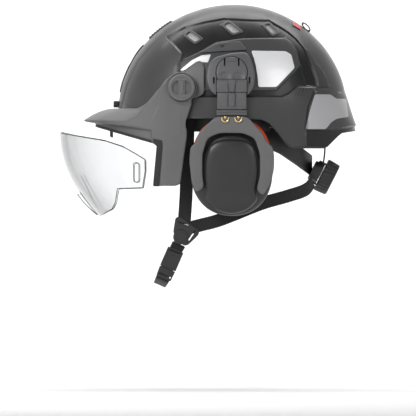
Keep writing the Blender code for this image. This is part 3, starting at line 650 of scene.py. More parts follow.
def inset(points, distance):
    """The outline moved inwards; its points run either way round."""
    area = sum(a.x * b.y - b.x * a.y for a, b in zip(points, points[1:] + points[:1]))
    turn = 1 if area > 0 else -1
    result = []
    for index, corner in enumerate(points):
        before = (corner - points[index - 1]).normalized()
        after = (points[(index + 1) % len(points)] - corner).normalized()
        middle = Vector((-before.y - after.y, before.x + after.x)).normalized() * turn
        share = max(0.35, middle.dot(Vector((-before.y, before.x)) * turn))
        result.append(corner + middle * (distance / share))
    return result


def depth_inside(outline, x, z):
    """How far a point lies inside an outline; negative outside."""
    inside = False
    nearest = 1e9
    for (ax, az), (bx, bz) in zip(outline, outline[1:] + outline[:1]):
        if (az > z) != (bz > z) and x < (bx - ax) * (z - az) / (bz - az) + ax:
            inside = not inside
        dx = bx - ax
        dz = bz - az
        share = min(1.0, max(0.0, ((x - ax) * dx + (z - az) * dz) / (dx * dx + dz * dz)))
        nearest = min(nearest, math.hypot(x - ax - dx * share, z - az - dz * share))
    return nearest if inside else -nearest


# ---------------------------------------------------------------- the dome

def dome_point(direction, grow):
    level = math.hypot(direction.x, direction.y)
    if level < 1e-6:
        height = SHELL_HEIGHT + grow if direction.z > 0 else -SHELL_WALL_DEPTH
        return Vector((SHELL_CENTRE_X, 0.0, SHELL_EQUATOR_Z + height))
    ahead = direction.x / level
    aside = direction.y / level
    stretch = (abs(ahead) ** SHELL_PLAN_POWER + abs(aside) ** SHELL_PLAN_POWER) ** (-1 / SHELL_PLAN_POWER)
    above = direction.z > 0
    reach = stretch * (level if above else 1.0)
    length = (SHELL_REAR_REACH if ahead > 0 else SHELL_FRONT_REACH) + grow
    z = SHELL_EQUATOR_Z + direction.z * (SHELL_HEIGHT + grow if above else SHELL_WALL_DEPTH)
    x = SHELL_CENTRE_X + length * ahead * reach
    drop = max(0.0, REAR_FLARE_TOP_Z - z) / REAR_FLARE_DEPTH
    x += REAR_FLARE * min(drop, 1.0) ** 1.5 * max(0.0, ahead) ** 3
    return Vector((x, (SHELL_HALF_WIDTH + grow) * aside * reach, z))


def dome_side(x, z, grow):
    """The distance from the middle plane at which the dome passes a point seen from the side."""
    rise = z - SHELL_EQUATOR_Z
    up = rise / (SHELL_HEIGHT + grow) if rise > 0 else rise / SHELL_WALL_DEPTH
    up = max(-0.999, min(0.999, up))
    level = math.sqrt(1 - up * up)
    low, high = 0.0, math.pi
    for _ in range(26):
        turn = (low + high) / 2
        if dome_point(Vector((level * math.cos(turn), level * math.sin(turn), up)), grow).x > x:
            low = turn
        else:
            high = turn
    return dome_point(Vector((level * math.cos(low), level * math.sin(low), up)), grow).y


def relief(x, y, z):
    """How far the shell's face stands out from the plain dome."""
    side = step_up(abs(y), 18, 66)
    rise = CREST_RISE * (1 - side)
    for _, outline, height, _ in FACETS:
        inside = depth_inside(outline, x, z)
        if inside > -0.01:
            rise += (height - rise) * min(1.0, max(0.0, inside / FACET_EDGE))
    return rise


def dome_patch(side, outline, lift, thickness, edge, rings=9, dents=(), follows=False):
    """A pillowed piece that follows the dome, with a rounded edge; dents are (x, z, radius, depth)."""
    outline = resample(outline, 1.6)
    centre = sum((Vector(point) for point in outline), Vector((0, 0))) / len(outline)

    def ring(scale, inset, height):
        section = []
        for point in outline:
            arm = Vector(point) - centre
            place = centre + arm * (scale - inset / arm.length)
            sink = sum(depth * (1 - step_up(math.hypot(place.x - x, place.y - z), radius * 0.45, radius))
                       for x, z, radius, depth in dents)
            grow = lift + max(0.0, height - (sink if height > 0 else 0.0))
            if follows:
                grow += relief(place.x, dome_side(place.x, place.y, 0.0), place.y)
            section.append((place.x, side * dome_side(place.x, place.y, grow), place.y))
        return section

    sections = [ring(0.05, 0, 0), ring(0.5, 0, 0), ring(1, 0.2, 0), ring(1, 0, 0.2),
                ring(1, 0, thickness - edge)]
    for share in (0.25, 0.5, 0.75, 1.0):
        turn = share * math.pi / 2
        sections.append(ring(1, edge * (1 - math.cos(turn)), thickness - edge + edge * math.sin(turn)))
    sections += [ring(1 - index / rings, edge * (1 - index / rings), thickness) for index in range(1, rings)]
    return loft(sections)


# ---------------------------------------------------------------- shell

def score(bm, start, end):
    """Cut the mesh along one line of a side outline, on both sides of the helmet."""
    run = end - start
    length = run.length
    normal = Vector((run.y, 0.0, -run.x)).normalized()
    near = []
    for face in bm.faces:
        place = face.calc_center_median() / MM
        offset = Vector((place.x, place.z)) - start
        along = offset.dot(run) / length
        if -1.5 < along < length + 1.5 and abs(offset.x * normal.x + offset.y * normal.z) < 5:
            near.append(face)
    geometry = set(near)
    for face in near:
        geometry.update(face.edges)
        geometry.update(face.verts)
    middle = Vector((start.x, 0.0, start.y)) * MM
    bmesh.ops.bisect_plane(bm, geom=list(geometry), dist=1e-6, plane_co=middle, plane_no=normal)


def make_shell():
    bm = bmesh.new()
    bmesh.ops.create_uvsphere(bm, u_segments=224, v_segments=128, radius=1.0)
    lowest = min(vert.co.z for vert in bm.verts)
    bmesh.ops.delete(bm, geom=[v for v in bm.verts if v.co.z < lowest + 1e-5], context="VERTS")
    for vert in bm.verts:
        vert.co = dome_point(vert.co.normalized(), 0.0) * MM
    for _, outline, _, _ in FACETS:
        points = [Vector(point) for point in outline]
        inner = inset(points, FACET_EDGE)
        for ring in (points, inner):
            for start, end in zip(ring, ring[1:] + ring[:1]):
                if -132 < start.x < 152 and -132 < start.y and -150 < end.x < 152 and -132 < end.y:
                    score(bm, start, end)
    bmesh.ops.dissolve_degenerate(bm, dist=0.06 * MM, edges=bm.edges[:])
    bm.normal_update()
    lifts = [(vert, vert.normal.copy(), relief(*(vert.co / MM))) for vert in bm.verts]
    # Each face records how much painted shade its facet gets; the shell's material darkens it by that share.
    shade = bm.faces.layers.float.new("dark")
    for face in bm.faces:
        place = face.calc_center_median() / MM
        face[shade] = max([dark for _, outline, _,
                           dark in FACETS if depth_inside(outline, place.x, place.z) > 0] or [0.0])
    outward = 1 if lifts[0][1].dot(lifts[0][0].co) > 0 else -1
    for vert, normal, rise in lifts:
        vert.co += normal * (outward * rise * MM)
    shell = from_bmesh(bm, "shell")
    with_modifier(shell, "SOLIDIFY", thickness=SHELL_THICKNESS * MM, offset=-1.0)
    rim = plate(rounded(RIM, 5.0)[3:] + [(170, 80), (-170, 80)], -140.0, 140.0)
    combine(shell, [rim], "INTERSECT")
    cutters = [side_plate(side, rounded(vent, 2.4), 30.0, 95.0) for vent in VENTS for side in SIDES.values()]
    carve(shell, join(*cutters))
    finish(shell, "shell", SHELL_LOOK, "helmet", ["outer_shell"], 20.0)


def make_rim_trim():
    """A bead all round the shell's lower edge."""
    places = []
    for index in range(240):
        turn = 2 * math.pi * index / 240
        z = SHELL_EQUATOR_Z
        for _ in range(8):
            up = (z - SHELL_EQUATOR_Z) / (SHELL_HEIGHT if z > SHELL_EQUATOR_Z else SHELL_WALL_DEPTH)
            level = math.sqrt(max(0.0, 1 - up * up))
            direction = Vector((level * math.cos(turn), level * math.sin(turn), up))
            point = dome_point(direction, 0.0)
            z = interpolate(RIM, point.x)
        outer = dome_point(direction, relief(*point) - 0.5)
        places.append((outer.x, outer.y, z + 0.2))
    finish(tube(places, 1.0, 2, True), "rim_trim", DARK_LOOK, "helmet")


def make_vent_screens():
    screens = []
    frames = []
    for side in SIDES.values():
        for vent in VENTS:
            corners = [Vector(point) for point in vent]
            screens.append(dome_patch(side, inset(corners, -1.0), -3.6, 0.8, 0.3, 3))
            frame = dome_patch(side, rounded(inset(corners, -2.2), 3.0), -0.6, 1.2, 0.5, 4, (), True)
            frames.append(carve(frame, side_plate(side, rounded(inset(corners, 0.2), 2.4), 30.0, 95.0)))
            frames.append(dome_patch(side, rounded([(vent[0][0] - 5, vent[0][1] - 1),
                                                    (vent[0][0] - 2, vent[0][1] + 3),
                                                    (vent[0][0] - 1, vent[0][1] - 1)], 1.0), -0.6, 0.9, 0.3,
                                     3, (), True))
    finish(join(*screens), "vent_screens", SCREEN_LOOK, "helmet")
    finish(join(*frames), "vent_frames", COVER_LOOK, "helmet")


def make_trim():
    for label, side in SIDES.items():
        white = dome_patch(side, rounded(SIDE_STICKER, 2.5), 0.0, 0.6, 0.2, 12, (), True)
        finish(white, f"white_sticker_{label}", WHITE_FILM, "helmet",
               [f"side_reflector_{label}"])
        grey = dome_patch(side, rounded(REAR_STICKER, 2.0), 0.0, 0.6, 0.2, 12, (), True)
        finish(grey, f"rear_sticker_{label}", GREY_FILM, "helmet", [f"rear_reflector_{label}"])
        arc = dome_patch(side, rounded(CRESCENT_STICKER, 1.5), 0.0, 0.6, 0.2, 5, (), True)
        finish(arc, f"crescent_sticker_{label}", WHITE_FILM, "helmet")
        cover = dome_patch(side, rounded(ACCESSORY_COVER, 2.5), -0.6, 2.9, 0.9, 6)
        hook = [(x, -9.2 - 3.0 * math.sqrt(max(0.0, 1 - ((x + 9.6) / 2.6) ** 2))) for x in span(-12.2,
                                                                                                -7.0, 9)]
        hook += [(x, -9.2 - 1.6 * math.sqrt(max(0.0, 1 - ((x + 9.6) / 1.5) ** 2))) for x in span(-8.1,
                                                                                                 -11.1, 7)]
        notch = side_plate(side, hook, 60, 120)
        finish(carve(cover, notch), f"slot_cover_{label}", COVER_LOOK, "helmet",
               [f"accessory_cover_{label}"])
        ribs = [dome_patch(side, rounded([(x, -68.5), (x + 1.4, -68.2), (x + 5.0, -59.4), (x + 3.6, -59.6)],
                                         0.6),
                           0.0, 0.8, 0.3, 3, (), True) for x in (79, 82.4, 85.8)]
        finish(join(*ribs), f"side_ribs_{label}", SHELL_LOOK, "helmet")
        mark = dome_patch(side, rounded([(76, 19.5), (86.5, 12.5), (84.5, 9.5), (75, 15)], 1.0), 0.0, 0.5,
                          0.2, 3, (), True)
        finish(mark, f"red_mark_{label}", RED_LOOK, "helmet")


def crest_point(climb, y, lift):
    """A place on the front of the crest, at a climb in degrees above the dome's equator."""
    climb = math.radians(climb)
    turn = math.asin(y / SHELL_HALF_WIDTH)
    direction = Vector((-math.cos(climb) * math.cos(turn), math.cos(climb) * math.sin(turn), math.sin(climb)))
    return dome_point(direction, CREST_RISE + lift)


def make_front_details():
    low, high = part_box("lamp_clip")
    clip = bevelled(block(low / MM, high / MM), 1.2)
    slot = block((low.x / MM - 1, -5.5, low.z / MM + 3.0), (low.x / MM + 2.0, 5.5, high.z / MM - 2.2))
    finish(carve(clip, slot), "front_lamp_clip", RUBBER_LOOK, "helmet", ["lamp_clip"])
    # A ribbed grip strip on the crest; its rear end stands up as a step.
    bed = [[crest_point(climb, y, lift) for y, lift in
            ((-15, -1.5), (-15, 0.8), (-14.4, 1.3), (-7, 1.6), (0, 1.6), (7, 1.6), (14.4, 1.3), (15, 0.8),
             (15, -1.5))]
           for climb in span(43, 57.5, 12)]
    pieces = [loft(bed)]
    for climb in span(44, 56.5, 9):
        pieces.append(tube([crest_point(climb, y, 1.6) for y in span(-13.5, 13.5, 9)], 0.75, 3))
    finish(join(*pieces), "forehead_ribs", COVER_LOOK, "helmet", ["forehead_grip"])
    climbs = [(11, 0.2), (12, 0.7), (17, 0.9), (24, 0.8), (28, 0.5), (31, 0.9), (35, 1.0), (38, 0.7),
              (38.6, 0.1)]
    for y in (-9.5, 9.5):
        route = smooth_path([crest_point(climb, y, lift) for climb, lift in climbs], 5)
        finish(tube(route, 0.7, 3), f"lamp_bail_{'left' if y < 0 else 'right'}", DARK_LOOK, "helmet")


def make_goggle_clip():
    """A rolled strap keeper: a short hollow tab on a hinge rod."""
    hinge = joint_place("goggle_clip_flip")
    down = Vector((0.70, 0.0, -0.714))
    out = Vector((0.714, 0.0, 0.70))
    loop = []
    for index in range(28):
        turn = 2 * math.pi * index / 28
        loop.append(hinge + down * (5.2 + 6.4 * math.cos(turn)) + out * (0.9 + 2.3 * math.sin(turn)))
    pieces = [tube([place + Vector((0, y, 0)) for place in loop], 0.6, 3, True) for y in (-9, -3, 3, 9)]
    pieces.append(tube([hinge + Vector((0, -12, 0)), hinge + Vector((0, 12, 0))], 1.2))
    pieces.append(tube([hinge + down * 11.4 + Vector((0, y, 0)) for y in (-11, 11)], 1.3))
    pieces.append(tube([hinge + down * 5 + out * 3.1 + Vector((0, y, 0)) for y in (-9, 9)], 0.6))
    finish(join(*pieces), "goggle_bail", DARK_LOOK, "goggle_clip", ["goggle_clip"])


# ---------------------------------------------------------------- ear muffs

def make_muff_mount(label, side):
    mount = dome_patch(side, rounded(MUFF_MOUNT, 7.0), 0.4, 8.5, 2.6, 14)
    hole = turned((ARM_X, side * 80, BUTTON_Z), (0, side, 0),
                  [(0, BUTTON_RADIUS + 0.7), (60, BUTTON_RADIUS + 0.7)])
    notch = side_block(side, (-16.8, 20.4), (90, 135), (-80, -49.5))
    pockets = [side_block(side, (x - 1.0, x + 1.0), (96, 130), (-56, -48)) for x in (-19.4, 23.0)]
    carve(mount, hole, notch, join(*pockets))
    base = dome_patch(side, rounded(inset([Vector(point) for point in MUFF_MOUNT], 3.0), 7.0), 0.4,
                      0.5, 0.1, 4)
    finish(join(mount, base), f"mount_{label}", ARM_LOOK, "helmet", [f"muff_mount_{label}"])


def make_release_button(label, side):
    dents = ((-6.4, -48.4, 8.0, 1.6), (10.0, -48.4, 8.0, 1.6))
    button = dome_patch(side, oval(ARM_X, BUTTON_Z, BUTTON_RADIUS, BUTTON_RADIUS), 3.4, 6.6, 1.4, 16, dents)
    slots = [side_block(side, (x - 0.9, x + 0.9), (80, 130), (-35, -20.0)) for x in (-6.6, 10.2)]
    corners = [side_plate(side, [(x, -70), (ARM_X + hand * 24, -70), (ARM_X + hand * 24, -42),
                                 (ARM_X + hand * 19, -45)],
                          85, 130) for hand, x in ((-1, -9.6), (1, 13.2))]
    carve(button, side_block(side, (-20, 25), (85, 130), (-70, -50.6)), join(*slots), join(*corners))
    ridge = dome_patch(side, rounded([(-4.5, -25), (8.1, -25), (6.8, -29.5), (-3.2, -29.5)], 1.5), 9.6,
                       1.0, 0.4, 4)
    finish(join(button, ridge), f"button_{label}", ARM_LOOK, f"button_{label}",
           [f"release_button_{label}"])


def make_arm(label, side):
    low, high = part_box(f"muff_arm_{label}")
    inner = min(abs(low.y), abs(high.y)) / MM
    outer = max(abs(low.y), abs(high.y)) / MM
    left = low.x / MM
    right = high.x / MM
    bottom = low.z / MM
    seam = -66.8
    upper = bevelled(side_block(side, (left, right), (inner, outer), (seam + 0.4, -54)), 0.7)
    knuckle = turned((left, side * (inner + outer) / 2, -55), (1, 0, 0),
                     [(0, 3.4), (0.6, 4.0), (right - left - 0.6, 4.0), (right - left, 3.4)], 48)
    lower = bevelled(side_block(side, (left + 0.6, right - 0.6), (inner + 0.3, outer - 0.4), (bottom, seam)),
                     0.7)
    wedge = [(-3.2, -51.4), (6.8, -51.4), (4.6, -65.8), (-1.0, -65.8)]
    tongue = side_plate(side, rounded(wedge, 1.0), outer - 2.0, outer + 1.4)
    rib = side_plate(side, rounded([(-1.6, -67.4), (5.2, -67.4), (5.2, -82.4), (1.8, -84.4), (-1.6, -82.4)],
                                   1.4),
                     outer - 1.6, outer + 0.9)
    groove = [(x + (1.0 if x > ARM_X else -1.0), z) for x, z in wedge]
    carve(upper, side_plate(side, groove, outer - 1.2, outer + 3))
    slots = [side_block(side, (x - 0.6, x + 0.6), (outer - 1.2, outer + 2),
                        (-83.5, -66)) for x in (-2.9, 6.5)]
    carve(lower, join(*slots))
    arm = join(upper, knuckle, lower, bevelled(tongue, 0.5), bevelled(rib, 0.5))
    finish(arm, f"arm_sleeve_{label}", ARM_LOOK, f"arm_{label}", [f"muff_arm_{label}"])


def make_slider(label, side):
    low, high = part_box(f"height_slider_{label}")
    inner = min(abs(low.y), abs(high.y)) / MM
    outer = max(abs(low.y), abs(high.y)) / MM
    lip = bevelled(side_block(side, (low.x / MM, high.x / MM), (inner, outer), (-94, -87.6)), 0.9)
    ridge = bevelled(side_block(side, (low.x / MM + 1, high.x / MM - 1), (outer - 1, outer + 0.7),
                                (-90.4, -89)), 0.4)
    tongue = side_block(side, (-10.6, 14.2), (inner + 2.4, outer - 2.4), (-88.6, -60))
    finish(join(lip, ridge, tongue), f"slider_{label}", ARM_LOOK, f"slider_{label}",
           [f"height_slider_{label}"])


def make_yoke(label, side):
    yoke = side_plate(side, rounded(YOKE, 5.0), 111.5, 117.5)
    finish(bevelled(yoke, 1.9, 4, 25.0), f"yoke_{label}", GREY_LOOK, f"slider_{label}",
           [f"cup_yoke_{label}"])
    wires = []
    for middle in (ARM_X - 7.8, ARM_X + 7.8):
        turns = [math.pi * (0.9 + 1.2 * step / 16) for step in range(17)]
        wires.append(tube([(middle + 4.0 * math.cos(turn), side * 118.4, -97.6 + 4.0 * math.sin(turn))
                           for turn in turns], 1.0))
        wires.append(side_disc(side, middle, -96.2, 1.5, (117.2, 119.6), 0.4, 24))
    finish(join(*wires), f"spring_{label}", BRASS_LOOK, f"slider_{label}",
           [f"spring_wire_{label}"])


def egg(half_x, half_z, upper, lower, count=96):
    """An outline about the origin whose upper and lower halves are superellipses of their own powers."""
    points = []
    for index in range(count):
        turn = 2 * math.pi * index / count
        power = 2 / (upper if math.sin(turn) > 0 else lower)
        x = half_x * math.copysign(abs(math.cos(turn)) ** power, math.cos(turn))
        points.append((x, half_z * math.copysign(abs(math.sin(turn)) ** power, math.sin(turn))))
    return points


def make_cup(label, side):
    """Sound cup: a shell that bulges under the yoke, with a crowned face in the yoke's opening."""
    profile = [(104.5, 34, 38), (99, 43, 49), (96.4, 44.2, 50.5), (96.3, 48.0, 53.4), (98.5, 48.8, 54),
               (101, 48.0, 53.4), (103.5, 46.2, 51.6), (105.5, 43.4, 49), (107.5, 40, 45.5),
               (109.4, 36.5, 42), (110.6, 32, 37)]
    cup = loft([[(ARM_X + x, side * y, CUP_SHELL_Z + z) for x, z in egg(half_x, half_z, 1.9, 2.2)]
                for y, half_x, half_z in profile])
    outline = [Vector(point) for point in resample(rounded(CUP_FACE, 14.0), 1.5)]
    middle = Vector((ARM_X, CUP_Z - 10))
    crown = [(0.96, 104.0), (1.0, 106.0), (1.0, 112.5), (0.992, 114.6), (0.97, 116.4), (0.93, 117.7),
             (0.86, 118.7), (0.76, 119.4), (0.62, 119.9), (0.45, 120.2), (0.25, 120.4), (0.06, 120.4)]
    sections = []
    for scale, y in crown:
        ring = [middle + (point - middle) * scale for point in outline]
        sections.append([(place.x, side * (y - CUP_DROP * step_up(-place.y, 180, 216)),
                          place.y) for place in ring])
    finish(join(cup, loft(sections)), f"cup_{label}", CUP_LOOK, f"cup_{label}",
           [f"ear_cup_{label}"], 40.0)
    profile = [(92.4, 34, 40.5), (92.4, 47.2, 59.8), (93.2, 48.2, 60.8), (95.2, 48.2, 60.8), (96, 47.2, 59.8),
               (96, 34, 40.5)]
    rings = [[(ARM_X + x, side * y, CUP_Z + (z if z > 0 else z * 0.92)) for x,
              z in egg(half_x, half_z, 2.5, 2.1)]
             for y, half_x, half_z in profile]
    ring = loft(rings, closed=True)
    finish(ring, f"accent_ring_{label}", ORANGE_LOOK, f"cup_{label}", [f"cup_ring_{label}"])


def cushion_mesh():
    """The left ear cushion before it is inflated: a soft ring with a seam pulled in on its outside."""
    profile = [(79.6, 33, 40), (78.9, 36.5, 43.5), (79.4, 41, 48), (81.5, 44.2, 51.2), (84, 45.4, 52.4),
               (85.2, 44.6, 51.6), (86.4, 45.4, 52.4), (89.5, 45.6, 52.6), (91.8, 44.5, 51.5), (91.9, 38, 45),
               (91.8, 33.6, 40.6), (88, 31.2, 38.2), (83, 31.0, 38.0)]
    turns = [2 * math.pi * index / 80 for index in range(80)]
    return loft([[(ARM_X + half_x * math.cos(turn), -y, CUP_Z + half_z * math.sin(turn))
                  for y, half_x, half_z in profile] for turn in turns], closed=True)


def inflate(obj, pressure, cap, frames=18):
    """Swell a padded piece by cloth simulation; no point moves further than cap."""
    rest = [vert.co.copy() for vert in obj.data.vertices]
    cloth = obj.modifiers.new("cloth", "CLOTH")
    cloth.settings.use_pressure = True
    cloth.settings.uniform_pressure_force = pressure
    cloth.settings.effector_weights.gravity = 0.0
    cloth.settings.tension_stiffness = 8.0
    cloth.settings.compression_stiffness = 8.0
    cloth.settings.bending_stiffness = 0.3
    scene = bpy.context.scene
    for step in range(1, frames + 1):
        scene.frame_set(step)
    depsgraph = bpy.context.evaluated_depsgraph_get()
    mesh = bpy.data.meshes.new_from_object(obj.evaluated_get(depsgraph))
    obj.modifiers.clear()
    for vert, start in zip(mesh.vertices, rest):
        move = vert.co - start
        if move.length > cap * MM:
            vert.co = start + move.normalized() * cap * MM
    obj.data = mesh
    scene.frame_set(1)
    return obj


def keep_within(obj, node, slack):
    """Hold a soft piece inside its CAD solid's box, widened by slack."""
    low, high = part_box(node)
    for vert in obj.data.vertices:
        for axis in range(3):
            vert.co[axis] = min(max(vert.co[axis], low[axis] - slack * MM), high[axis] + slack * MM)
    return obj


def make_cushions():
    left = cushion_mesh()
    inflate(left, 2.0, 1.4)
    keep_within(left, "ear_cushion_left", 0.1)
    with_modifier(left, "SUBSURF", levels=1, render_levels=1)
    mirrored = left.data.copy()
    mirrored.transform(Matrix.Diagonal((1, -1, 1, 1)))
    mirrored.flip_normals()
    right = bpy.data.objects.new("right", mirrored)
    bpy.context.scene.collection.objects.link(right)
    for label, cushion in (("left", left), ("right", right)):
        finish(cushion, f"cushion_{label}", PAD_LOOK, f"cup_{label}", [f"ear_cushion_{label}"])


# ---------------------------------------------------------------- visor frame and face shield

def horseshoe(share, form, inset=0.0):
    reach = form["reach"] - inset
    rear = max(0.0, min(1.0, (form["centre_x"] - HUB.x) / reach))
    widest = math.acos(rear ** (SHELL_PLAN_POWER / 2))
    turn = widest * share
    power = 2 / SHELL_PLAN_POWER
    x = form["centre_x"] - reach * abs(math.cos(turn)) ** power
    y = (form["half_width"] - inset) * math.copysign(abs(math.sin(turn)) ** power, share)
    return x, y


def peak_section(share):
    """One slice of the peak: sloping top, flat side to the crease, rounded lip, skirt, hollow underside."""
    inner = horseshoe(share, PEAK_INNER)
    crease = horseshoe(share, PEAK_TIP, 1.2)
    tip = horseshoe(share, PEAK_TIP)
    skirt = horseshoe(share, PEAK_SKIRT)
    inside = horseshoe(share, PEAK_SKIRT, PEAK_WALL)
    inner_z = interpolate(PEAK_INNER_HEIGHTS, inner[0])
    crease_z = interpolate(PEAK_CREASE_HEIGHTS, crease[0])
    ridge_z = interpolate(PEAK_RIDGE_HEIGHTS, tip[0])
    skirt_z = interpolate(PEAK_SKIRT_HEIGHTS, skirt[0])
    top = []
    for part in range(7):
        t = part / 6
        crown = 2.0 * math.sin(math.pi * t) * math.cos(share * math.pi / 2)
        top.append((inner[0] + (crease[0] - inner[0]) * t, inner[1] + (crease[1] - inner[1]) * t,
                    inner_z + (crease_z - inner_z) * t + crown))
    side = [(crease[0] + (tip[0] - crease[0]) * t, crease[1] + (tip[1] - crease[1]) * t,
             crease_z + (ridge_z - crease_z) * t) for t in (0.33, 0.67, 1.0)]
    return top + side + [(*tip, ridge_z - 2.4), (*skirt, ridge_z - 4.6), (*skirt, skirt_z),
                         (*inside, skirt_z), (*inside, ridge_z - 4.6), (*inner, inner_z - PEAK_WALL)]


def make_visor_frame():
    shares = [2 * index / 120 - 1 for index in range(121)]
    body = loft([peak_section(share) for share in shares])
    for side in SIDES.values():
        carve(body, turned((HUB.x, side * 85, HUB.z), (0, side, 0), [(0, 26), (22, 26)], 64))
    parts = [body]
    for side in SIDES.values():
        parts.append(side_plate(side, rounded(WING, 5.0), WING_Y[0], WING_Y[1]))
        skirt = [(-91.4, -177.6), (-82, -177.6), (-79, -128), (-79, -104), (-93, -104), (-93, -126),
                 (-87.2, -130)]
        parts.append(side_plate(side, skirt, 103.4, WING_Y[0] + 0.5))
        parts.append(side_disc(side, HUB.x, HUB.z, 18.5, (WING_Y[0] - 0.2, RING_FACE_Y), 0.8))
        # The flat side between the crease and the hub.
        web = [(-84, -62), (-77, -51), (-70, -46), (-58, -46), (-58, -100), (-84, -100)]
        parts.append(side_plate(side, web, WING_Y[0], WING_Y[1]))
    visor = join(*parts)
    with_modifier(visor, "REMESH", mode="VOXEL", voxel_size=1.0 * MM, use_smooth_shade=True)
    with_modifier(visor, "SMOOTH", factor=0.5, iterations=9)
    outer = sorted(horseshoe(index / 200, PEAK_TIP) for index in range(201))
    for vert in visor.data.vertices:
        x = vert.co.x / MM
        if -174 < x < -72:
            most = interpolate(outer, x) * MM
            vert.co.y = min(max(vert.co.y, -most), most)
    for side in SIDES.values():
        gap = turned((HUB.x, side * (RING_FACE_Y - 1.6), HUB.z), (0, side, 0), [(0, 17.4), (8, 17.4)], 72)
        bore = turned((HUB.x, side * 95, HUB.z), (0, side, 0), [(0, 4.5), (30, 4.5)], 32)
        carve(visor, gap, bore)
    finish(visor, "peak_and_wings", GREY_LOOK, "visor", ["visor_frame"], 40.0)


def make_lens_channel():
    """A near-black strip along the skirt and down the wings, where the face shield snaps in."""
    sections = []
    for index in range(97):
        share = 0.93 * (2 * index / 96 - 1)
        outer = horseshoe(share, PEAK_SKIRT, -0.5)
        inner = horseshoe(share, PEAK_SKIRT, PEAK_WALL - 0.4)
        z = interpolate(PEAK_SKIRT_HEIGHTS, outer[0])
        sections.append([(*outer, z - 0.3), (*outer, z + 2.4), (*inner, z + 2.4), (*inner, z - 0.3)])
    pieces = [bevelled(loft(sections), 0.3, 2)]
    strip = [(-92, -177.9), (-84.6, -177.9), (-80.4, -131), (-81, -123.6), (-92, -121.5), (-92, -125.5),
             (-87.6, -129.6)]
    for side in SIDES.values():
        pieces.append(bevelled(side_plate(side, rounded(strip, 1.5), WING_Y[0] - 0.6, WING_Y[1] + 0.4),
                               0.4, 2))
        tab = horseshoe(side * 0.42, PEAK_SKIRT)
        pieces.append(block((tab[0] - 1.5, tab[1] - 2, -119), (tab[0] + 1.0, tab[1] + 2, -112)))
    finish(join(*pieces), "lens_channel", RUBBER_LOOK, "visor")


def make_bracket(label, side):
    bracket = dome_patch(side, rounded(VISOR_BRACKET, 8.0), 0.4, 3.9, 1.5, 12)
    boss = side_disc(side, HUB.x, HUB.z, 11.0, (96, 105.2), 0.5)
    finish(join(bracket, boss), f"bracket_{label}", ARM_LOOK, "helmet",
           [f"visor_bracket_{label}"])


def make_hub_knob(label, side):
    start = RING_FACE_Y + 0.8
    depth = 6.3
    knob = turned((HUB.x, side * start, HUB.z), (0, side, 0),
                  [(0, 15.6), (0.4, 16.0), (depth - 1.4, 16.0), (depth - 0.5, 15.5), (depth, 14.4),
                   (depth, 12.6), (depth - 0.5, 12.2), (depth - 0.5, 0.3)], 96)
    cuts = []
    for direction in (-1, 1):
        moon = [(HUB.x + direction * (4.0 + 7.4 * math.cos(turn)), HUB.z + 8.4 * math.sin(turn))
                for turn in (math.pi * (step / 16 - 0.5) for step in range(17))]
        cuts.append(side_plate(side, moon, start + depth - 3.4, start + depth + 4))
    carve(knob, *cuts)
    bar = bevelled(side_plate(side, rounded([(HUB.x - 2.6, HUB.z + 8), (HUB.x + 2.6, HUB.z + 8),
                                             (HUB.x + 1.8, HUB.z - 8), (HUB.x - 1.8, HUB.z - 8)], 1.2),
                              start + depth - 1.5, start + depth + 0.5), 0.4)
    finish(join(knob, bar), f"knob_{label}", GREY_LOOK, f"hub_{label}", [f"hub_knob_{label}"])


def front_x(z):
    """Where the shield's front stands at a height."""
    share = (LENS_OUTLINE[0][1] + 0.3 - z) / (LENS_OUTLINE[0][1] - LENS_OUTLINE[-1][1] + 1.0)
    return LENS_FRONT_X + LENS_SWEEP_BACK * max(0.0, share) ** 2.1


def lens_place(side, x, z):
    """The point of the shield's sheet at a place seen from the side."""
    reach = LENS_REAR_X - front_x(z)
    cosine = min(1.0, max(0.0, (LENS_REAR_X - x) / reach)) ** 1.25
    return Vector((x, side * LENS_HALF_WIDTH * math.sqrt(1 - cosine * cosine) ** 0.8, z))


